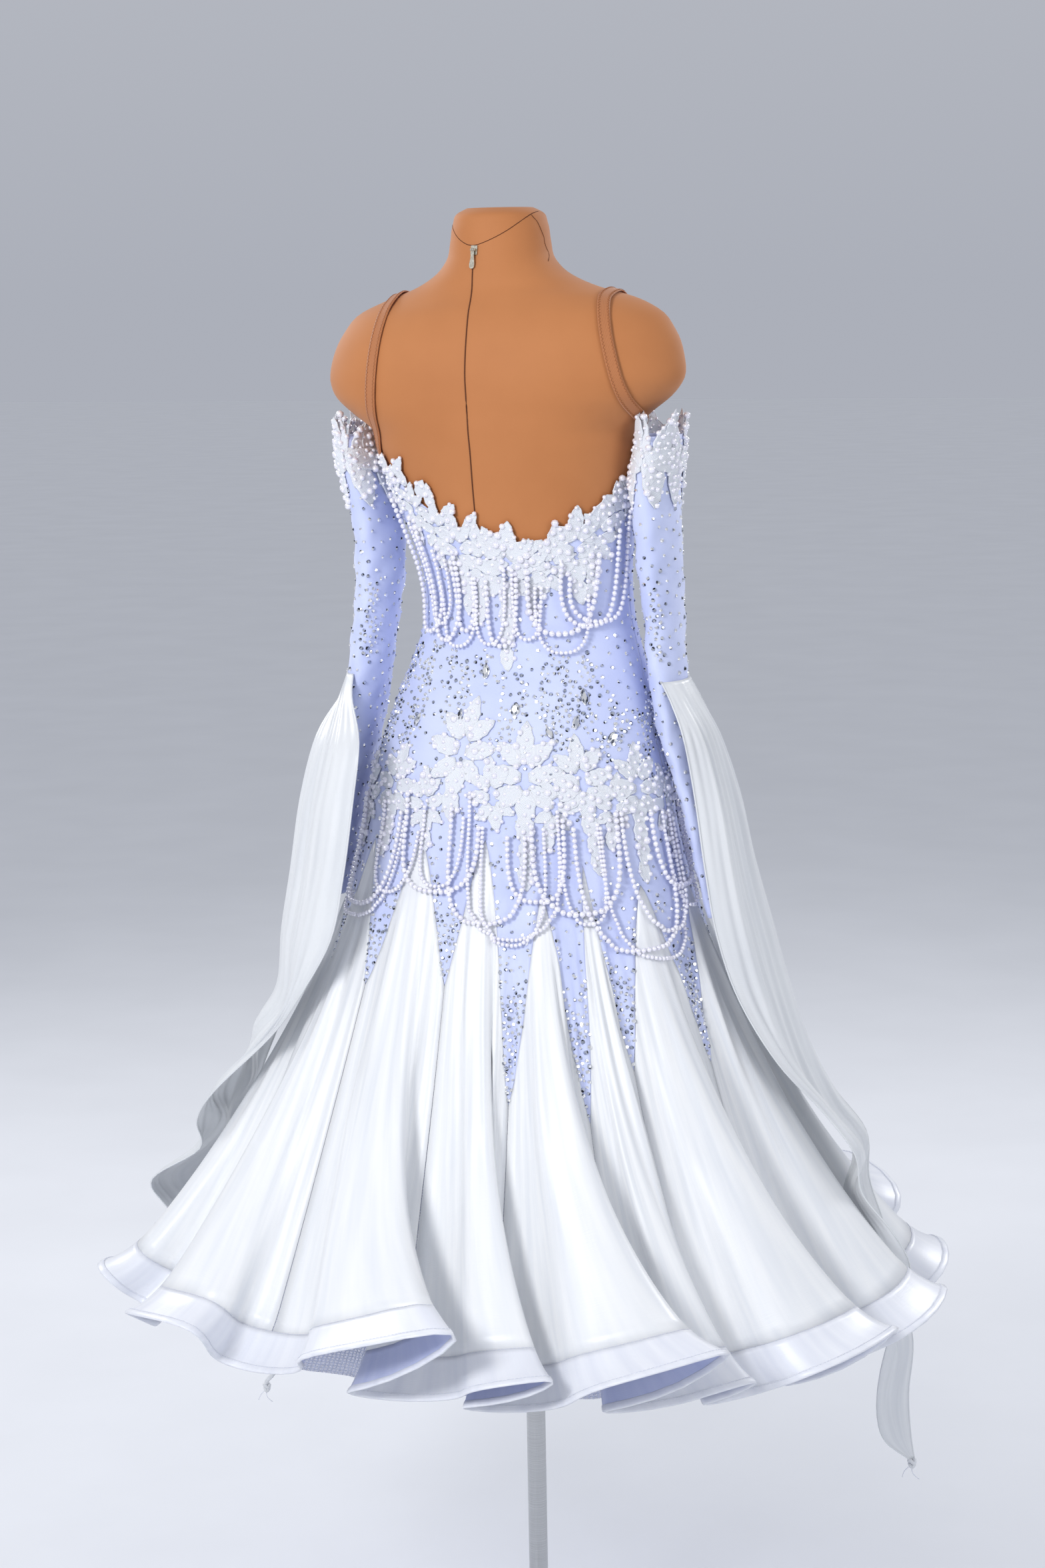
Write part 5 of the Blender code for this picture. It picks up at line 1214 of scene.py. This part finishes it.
def strings_piece(name, loops, replaced):
    """All loops of one place, grown in one run for each size of pearl and joined."""
    parts = []
    for mm in sorted({row[5] for row in loops}):
        verts, edges = [], []
        for row in loops:
            if row[5] == mm:
                points = loop(*row)
                edges += [(len(verts) + i, len(verts) + i + 1) for i in range(len(points) - 1)]
                verts += points.tolist()
        mesh = bpy.data.meshes.new("strings")
        mesh.from_pydata(verts, edges, [])
        source = bpy.data.objects.new("strings", mesh)
        scene.collection.objects.link(source)
        grown_mesh = grown(source, STRINGS, "%s_%gmm" % (name, mm), Pitch=mm / 1000)
        bpy.data.objects.remove(source)
        parts.append(bpy.data.objects.new("part", grown_mesh))
    for o in parts:
        scene.collection.objects.link(o)
    with bpy.context.temp_override(active_object=parts[0], selected_editable_objects=parts):
        bpy.ops.object.join()
    mesh = parts[0].data
    bpy.data.objects.remove(parts[0])
    piece = put(name, mesh, PEARL)
    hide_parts(*replaced)


# columns: phi_start, z_start, phi_end, z_end, z_low, pearl_mm
strings_piece("pearl_loops_body_back", [
    (-88, 1.385, -66, 1.30, 1.236, 6.2), (-78, 1.36, -58, 1.32, 1.246, 5.0), (-74, 1.35, -50, 1.33, 1.228, 6.2), (-66, 1.33, -36, 1.30, 1.222, 5.0),
    (-53, 1.318, -38, 1.29, 1.240, 6.2), (-38, 1.30, -12, 1.31, 1.226, 5.0), (-27, 1.297, -3, 1.30, 1.224, 6.2), (-6, 1.31, 14, 1.29, 1.232, 5.0),
    (5, 1.301, 44, 1.325, 1.238, 7.2), (10, 1.29, 40, 1.28, 1.217, 5.0), (25, 1.316, 55, 1.35, 1.246, 6.2), (30, 1.30, 62, 1.37, 1.250, 6.2),
], ["swag_body_back"])
strings_piece("pearl_loops_hip_back", [
    (-92, 1.040, -60, 1.030, 0.916, 5.0), (-88, 1.052, -62, 1.040, 0.930, 6.2), (-72, 1.050, -52, 1.020, 0.950, 5.0), (-59, 1.062, -22, 1.030, 0.956, 6.6),
    (-50, 1.050, -30, 1.040, 0.962, 5.0), (-36, 1.050, 0, 1.020, 0.924, 6.2), (-27, 1.068, 14, 1.050, 0.908, 5.0), (-20, 1.030, 8, 1.030, 0.902, 5.0),
    (-8, 1.020, 16, 1.040, 0.950, 6.2), (3, 1.033, 36, 1.045, 0.936, 7.0), (14, 1.040, 30, 1.030, 0.925, 5.0), (20, 1.030, 56, 1.010, 0.892, 6.2),
    (29, 1.030, 60, 1.040, 0.880, 5.0), (38, 1.045, 62, 1.030, 0.910, 6.2), (50, 1.041, 72, 1.020, 0.955, 6.6), (56, 1.040, 70, 1.030, 0.930, 5.0),
], ["swag_hip_upper_back", "swag_hip_lower_back"])
front_loops = []
for n in range(9):
    a = 78 + 18.5 * n
    front_loops += [(a, 1.045, a + 24, 1.045, 0.940 - 0.012 * (n % 3), (6.0, 6.2)[n % 2]), (a + 5, 1.040, a + 31, 1.040, 0.905 + 0.010 * (n % 2), 5.0)]
strings_piece("pearl_loops_hip_front", front_loops, ["swag_hip_upper_front", "swag_hip_lower_front"])

# %% [markdown]
# ## Sewing, seams and straps
# Stitches are short pieces of thread. Each is one edge of a mesh here, and a Geometry Nodes tree
# gives every edge a round section. Real thread is 0.3 mm thick, and it is drawn at twice that.

# %% Stitches
tree, given, out = new_tree("thread_on_edges", ("Radius", "Float"), ("Material", "Material"))
line = add(tree, "GeometryNodeMeshToCurve", {"Mesh": given["Geometry"]}).outputs[0]
ring = add(tree, "GeometryNodeCurvePrimitiveCircle", {"Resolution": 5, "Radius": given["Radius"]}).outputs[0]
thread = add(tree, "GeometryNodeCurveToMesh", {"Curve": line, "Profile Curve": ring, "Fill Caps": True}).outputs[0]
thread = add(tree, "GeometryNodeRealizeInstances", {0: thread}).outputs[0]
tree.links.new(add(tree, "GeometryNodeSetMaterial", {"Geometry": thread, "Material": given["Material"]}).outputs[0], out.inputs[0])
THREAD = tree


def sewn(name, points, edges, radius_mm, material, slot):
    """Thread along the edges between points."""
    mesh = bpy.data.meshes.new(name)
    mesh.from_pydata(np.asarray(points).tolist(), edges, [])
    source = bpy.data.objects.new(name, mesh)
    scene.collection.objects.link(source)
    made = grown(source, THREAD, name, Radius=radius_mm / 1000, Material=material)
    bpy.data.objects.remove(source)
    piece = put(name, made, material)
    return piece


def stitch_row(line, pitch, length, zigzag=None):
    """Points and edges of stitches along a line; zigzag is a vector for each point of the line."""
    far = np.concatenate([[0], np.cumsum(np.linalg.norm(np.diff(line, axis=0), axis=1))])
    start = np.arange(pitch / 2, far[-1] - pitch, pitch)
    read = lambda at, rows: np.stack([np.interp(at, far, rows[:, k]) for k in range(3)], -1)
    a, b = read(start, line), read(start + length, line)
    if zigzag is not None:
        side = np.where(np.arange(len(start)) % 2, 1.0, -1.0)[:, None]
        a, b = a + side * read(start, zigzag), b - side * read(start + length, zigzag)
    return np.stack([a, b], 1).reshape(-1, 3), [(2 * i, 2 * i + 1) for i in range(len(start))]


WHITE_THREAD, tree, shader = finish_of("polyester_thread_white", roughness=0.6)
place = add(tree, "ShaderNodeTexCoord").outputs["Object"]
twist = add(tree, "ShaderNodeTexWave", {"Vector": place, "Scale": 400.0})
tree.links.new(ramp(tree, twist.outputs["Fac"], [(0.0, "C9CDDE"), (1.0, "EDEFF6")]), shader.inputs["Base Color"])
for label, row, out in (("top", 0, 0.0009), ("edge", 7, 0.0019)):
    line = band_grid[:, row] + band_out[:, row] * out
    line = np.concatenate([line, line[:1]])
    sewn("hem_stitches_" + label, *stitch_row(line, 0.0042, 0.0030), 0.3, WHITE_THREAD, "hem_band_satin")

# %% [markdown]
# The cover of the form is sewn from a few parts. Their seams show as fine dark lines. Each is a thin dark tube half
# sunk into the cover, a painted shadow of the seam's groove. The main one runs down from the zip slider.

# %% Seams of the form's cover
def on_form(x, z, lift, way=1):
    """Points on the form's back (way 1) or front (way -1), given from side to side and in height."""
    a = np.linspace(0.01, pi - 0.01, 721)
    found = []
    for x1, z1 in zip(x, z):
        face = form_point(way * a, np.full(721, z1), BUST_FORM)
        t1 = np.array([way * np.interp(-x1, -face[:, 0], a)])
        found.append(form_point(t1, np.array([z1]), BUST_FORM)[0] + lift * form_normal(t1, np.array([z1]), BUST_FORM)[0])
    return np.array(found)


SEAM, tree, shader = finish_of("cover_seam_shadow", roughness=0.9)
place = add(tree, "ShaderNodeTexCoord").outputs["Object"]
twist = add(tree, "ShaderNodeTexWave", {"Vector": place, "Scale": 300.0}, bands_direction="Z")
tree.links.new(ramp(tree, twist.outputs["Fac"], [(0.0, "4A2611"), (1.0, "6B3A1C")]), shader.inputs["Base Color"])
# columns: x, z
SEAMS = {
    "zip_line": [
        (0.0256, 1.649), (0.0262, 1.636), (0.0235, 1.601), (0.0204, 1.566), (0.0190, 1.523),
        (0.0175, 1.488), (0.0168, 1.440), (0.0177, 1.393), (0.0188, 1.325),
    ],
    "nape": [
        (0.0629, 1.682), (0.0534, 1.6715), (0.0440, 1.6645), (0.0335, 1.6600), (0.0225, 1.6600),
        (0.0044, 1.6667), (-0.0124, 1.6764), (-0.0261, 1.6884), (-0.0320, 1.6950),
    ],
    "neck_side": [(-0.0299, 1.6913), (-0.0356, 1.6819), (-0.0392, 1.6697), (-0.0420, 1.6553), (-0.0465, 1.6409)],
}
for name, rows in SEAMS.items():
    rows = finer(np.array(rows), 6, 0)
    main = name == "zip_line"
    lift, thick = (0.0001, 0.0008) if main else (-0.0001, 0.0005)
    tube("cover_seam_" + name, on_form(rows[:, 0], rows[:, 1], lift), thick, 6, SEAM)

# %% Straps
ELASTIC, tree, shader = finish_of("nude_elastic_tape", roughness=0.7, sheen_weight=0.2)
drop = add(tree, "ShaderNodeUVMap", uv_map="cloth").outputs["UV"]
rib = add(tree, "ShaderNodeTexWave", {"Vector": drop, "Scale": 320.0, "Distortion": 1.0}, bands_direction="X")
tree.links.new(ramp(tree, rib.outputs["Fac"], [(0.0, "A9663A"), (1.0, "C07C4A")]), shader.inputs["Base Color"])
bump(tree, shader, rib.outputs["Fac"], 0.3, 0.5)
TAN_THREAD, tree, shader = finish_of("polyester_thread_tan", roughness=0.6)
place = add(tree, "ShaderNodeTexCoord").outputs["Object"]
twist = add(tree, "ShaderNodeTexWave", {"Vector": place, "Scale": 400.0})
tree.links.new(ramp(tree, twist.outputs["Fac"], [(0.0, "8A5028"), (1.0, "A8683A")]), shader.inputs["Base Color"])
STRAP_W = 0.014
for name, side, x_top, x_low, back_z, front_z in (("strap_left", 1, 0.131, 0.143, 1.432, 1.452), ("strap_right", -1, 0.118, 0.154, 1.470, 1.510)):
    ridge = np.interp(-(x_top + 0.001), -(FORM[18:25, 1] + side * FORM[18:25, 5]), FORM[18:25, 0])
    own = [z for z in FORM[:, 0] if z < 1.603]
    heights = [(back_z, 1)] + [(z, 1) for z in own if z > back_z + 0.004] + [(ridge, 0)]
    heights += [(z, -1) for z in own[::-1] if z > front_z + 0.004] + [(front_z, -1)]
    line, normal = [], []
    for z, way in heights:
        x = side * (x_low + (x_top - x_low) * np.clip((z - back_z) / (1.60 - back_z), 0, 1))
        a = np.radians(np.linspace(0, 90, 361)) * way
        a = a if side > 0 else pi - a
        face = form_point(a, np.full(361, z), BUST_FORM)
        pick = int(np.argmin(np.abs(face[:, 0] - x)))
        line.append(face[pick])
        normal.append(form_normal(a[pick], z, BUST_FORM))
    line, normal = finer(np.array(line), 5, 0), unit(finer(np.array(normal), 5, 0))
    wide = unit(np.cross(normal, np.gradient(line, axis=0)))
    place = line + normal * 0.0026
    v = np.linspace(1, -1, 9)[:, None, None]
    grid = place[None] + wide[None] * v * STRAP_W / 2 + normal[None] * (0.0003 * np.cos(3 * pi * v) * (np.abs(v) > 0.3))
    strap = put(name + "_tape", cloth_mesh(name, grid), ELASTIC)
    thicken(strap, 0.0010)
    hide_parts(name)
    SHEETS.append((strap, cut_size(grid), "hung", ["form_cover"]))
    for row, across_mm in ((0, -5.0), (1, 5.0)):
        points, edges = stitch_row(place + wide * across_mm / 1000 + normal * 0.0008, 0.0020, 0.0020, wide * 0.0010)
        sewn("%s_zigzag_%d" % (name, row), points, edges, 0.28, TAN_THREAD, "nude_elastic")

# %% [markdown]
# ## Metal parts
# The stand is brushed steel: fine scratches run round the pole and the base, because both were
# polished while they turned. The zip's slider and its pull are die-cast and nickel plated. These
# four keep the frame's own meshes, which are already right, and get their finish here.

# %% Metal finishes
STEEL, tree, shader = finish_of("brushed_steel_stand", metallic=1.0, roughness=0.32)
place = add(tree, "ShaderNodeTexCoord").outputs["Object"]
lines = add(tree, "ShaderNodeMapping", {"Vector": place, "Scale": (6.0, 6.0, 1600.0)}).outputs["Vector"]
scratch = add(tree, "ShaderNodeTexNoise", {"Vector": lines, "Scale": 1.0, "Detail": 3.0}).outputs["Fac"]
tree.links.new(ramp(tree, scratch, [(0.3, "A9ABAD"), (0.7, "D6D7D8")]), shader.inputs["Base Color"])
rough = add(tree, "ShaderNodeMapRange", {"Value": scratch, "To Min": 0.24, "To Max": 0.44}).outputs[0]
tree.links.new(rough, shader.inputs["Roughness"])
bump(tree, shader, scratch, 0.05, 0.3)
NICKEL, tree, shader = finish_of("nickel_plated_zinc", metallic=1.0, roughness=0.28)
place = add(tree, "ShaderNodeTexCoord").outputs["Object"]
worn = add(tree, "ShaderNodeTexNoise", {"Vector": place, "Scale": 450.0, "Detail": 3.0}).outputs["Fac"]
tree.links.new(ramp(tree, worn, [(0.35, "B4AE9E"), (0.65, "DAD5C6")]), shader.inputs["Base Color"])
bump(tree, shader, worn, 0.08, 0.4)
for node, mat in (("base", STEEL), ("pole", STEEL), ("zip_slider", NICKEL), ("zip_pull", NICKEL)):
    solid = bpy.data.objects[node]
    for slot in solid.material_slots:
        slot.material = mat
    print(node, "is", mat.name)

# %% Knots at the tips of the floats
for name, tip in FLOAT_TIPS.items():
    if name == "float_left":
        f = np.linspace(0, 1, 14)[:, None]
        tail = tip + f * np.array([0.016, 0.0, -0.032]) + 0.002 * np.concatenate([np.sin(9 * f), np.cos(9 * f), 0 * f], 1)
        tube("float_left_twisted_tail", tail, 0.0028, 8, FLOAT_SATIN)
        tip = tail[-1]
    a = np.linspace(0, 2 * pi, 24, endpoint=False)
    for n, (radius, drop) in enumerate(((0.0034, 0.002), (0.0026, 0.007))):
        ring = tip + np.stack([radius * np.cos(a), radius * np.sin(a) * 0.7, 0.0016 * np.sin(2 * a + n) - drop], -1)
        tube("%s_knot_%d" % (name, n), ring, 0.0022, 8, FLOAT_SATIN, ring=True)
    for n, way in enumerate((-1, 1)):
        f = np.linspace(0, 1, 9)[:, None]
        hang = tip + np.array([0, 0, -0.007]) + f * np.array([0.010 * way, 0.004, -0.014]) + np.sin(3 * f) * np.array([0.003, -0.003 * way, 0])
        tube("%s_thread_%d" % (name, n), hang, 0.0004, 6, WHITE_THREAD)

# %% [markdown]
# ## What each cloth piece was cut to
# Cloth hardly stretches, so a piece is as wide and as long when it is cut as it is along its own
# surface now. The widths, lengths and areas are measured on the grids and printed for each sheet.
# Where a sheet fills less than LEAST_FILL of its width times its length, as a slender godet may, its width is printed
# as less, to match its true area. Only two slender godets are declared less wide than they measure, with their true
# area.

LEAST_FILL = 0.31
for piece, (width, length), held, rests_on in SHEETS:
    area = sum(face.area for face in piece.data.polygons)
    if area < LEAST_FILL * width * length:
        print("%s: its hem measures %.3f m and is declared as less" % (piece.name, width))
        width = area / (LEAST_FILL * length)
    print("%s: cut %.3f x %.3f m, %.4f m2" % (piece.name, width, length, area))

# %% [markdown]
# ## Floor and light
# A pale floor, a pale sky of the same tone and four large soft lights, as in a photographer's studio.
# The strongest one stands high on the left of the camera, so the folds of the skirt are shaded.

# %% Floor
floor_mat, tree, shader = finish_of("studio_floor_paper", roughness=0.85)
place = add(tree, "ShaderNodeTexCoord").outputs["Object"]
pulp = add(tree, "ShaderNodeTexNoise", {"Vector": place, "Scale": 3.0, "Detail": 4.0}).outputs["Fac"]
tree.links.new(ramp(tree, pulp, [(0.3, "DEE0E5"), (0.7, "E2E4E9")]), shader.inputs["Base Color"])
mesh = bpy.data.meshes.new("studio_floor")
mesh.from_pydata([(-40, -40, 0), (40, -40, 0), (40, 40, 0), (-40, 40, 0)], [], [(0, 1, 2, 3)])
mesh.materials.append(floor_mat)
floor = bpy.data.objects.new("studio_floor", mesh)
scene.collection.objects.link(floor)
floor.location.z = -0.0005
world = bpy.data.worlds.new("studio")
scene.world = world
world.use_nodes = True
# The sky is as dark at the horizon as the far floor is, so that the two run into each other.
sky = world.node_tree
height = add(sky, "ShaderNodeSeparateXYZ", {0: add(sky, "ShaderNodeTexCoord").outputs["Generated"]}).outputs["Z"]
rise = add(sky, "ShaderNodeMapRange", {"Value": height, "From Max": 0.35}).outputs[0]
sky.links.new(ramp(sky, rise, [(0.0, "BCC0CB"), (1.0, "D6D9E0")]), sky.nodes["Background"].inputs["Color"])
sky.nodes["Background"].inputs["Strength"].default_value = 0.82
scene.view_settings.view_transform = "Standard"


# %% Lights
def soft_light(name, azimuth, height, distance, size, watts):
    """A square area light that looks at the middle of the dress; azimuth is from -Y, as the camera's is."""
    lamp = bpy.data.lights.new(name, "AREA")
    lamp.size = size
    lamp.energy = watts
    a = radians(azimuth)
    spot = np.array([np.sin(a) * distance, -np.cos(a) * distance, height])
    back = unit(spot - np.array([0, 0, 0.95]))
    side = unit(np.cross([0, 0, 1.0], back))
    obj = bpy.data.objects.new(name, lamp)
    scene.collection.objects.link(obj)
    obj.matrix_world = Matrix([(*r, p) for r, p in zip(np.array([side, np.cross(back, side), back]).T, spot)] + [(0, 0, 0, 1)])


soft_light("key", 165, 2.6, 3.4, 1.0, 74)
soft_light("fill", 245, 2.0, 3.6, 1.6, 20)
soft_light("front_left", 60, 2.6, 3.2, 0.9, 34)
soft_light("front_right", 330, 2.6, 3.2, 0.9, 40)

# %% Count the triangles and finish
graph = bpy.context.evaluated_depsgraph_get()
total = 0
for piece in scene.objects:
    if piece.type == "MESH" and not piece.hide_render:
        mesh = piece.evaluated_get(graph).to_mesh()
        mesh.calc_loop_triangles()
        total += len(mesh.loop_triangles)
        if len(mesh.loop_triangles) > 60000:
            print(piece.name, len(mesh.loop_triangles), "triangles")
        piece.evaluated_get(graph).to_mesh_clear()
print(total, "triangles in all")
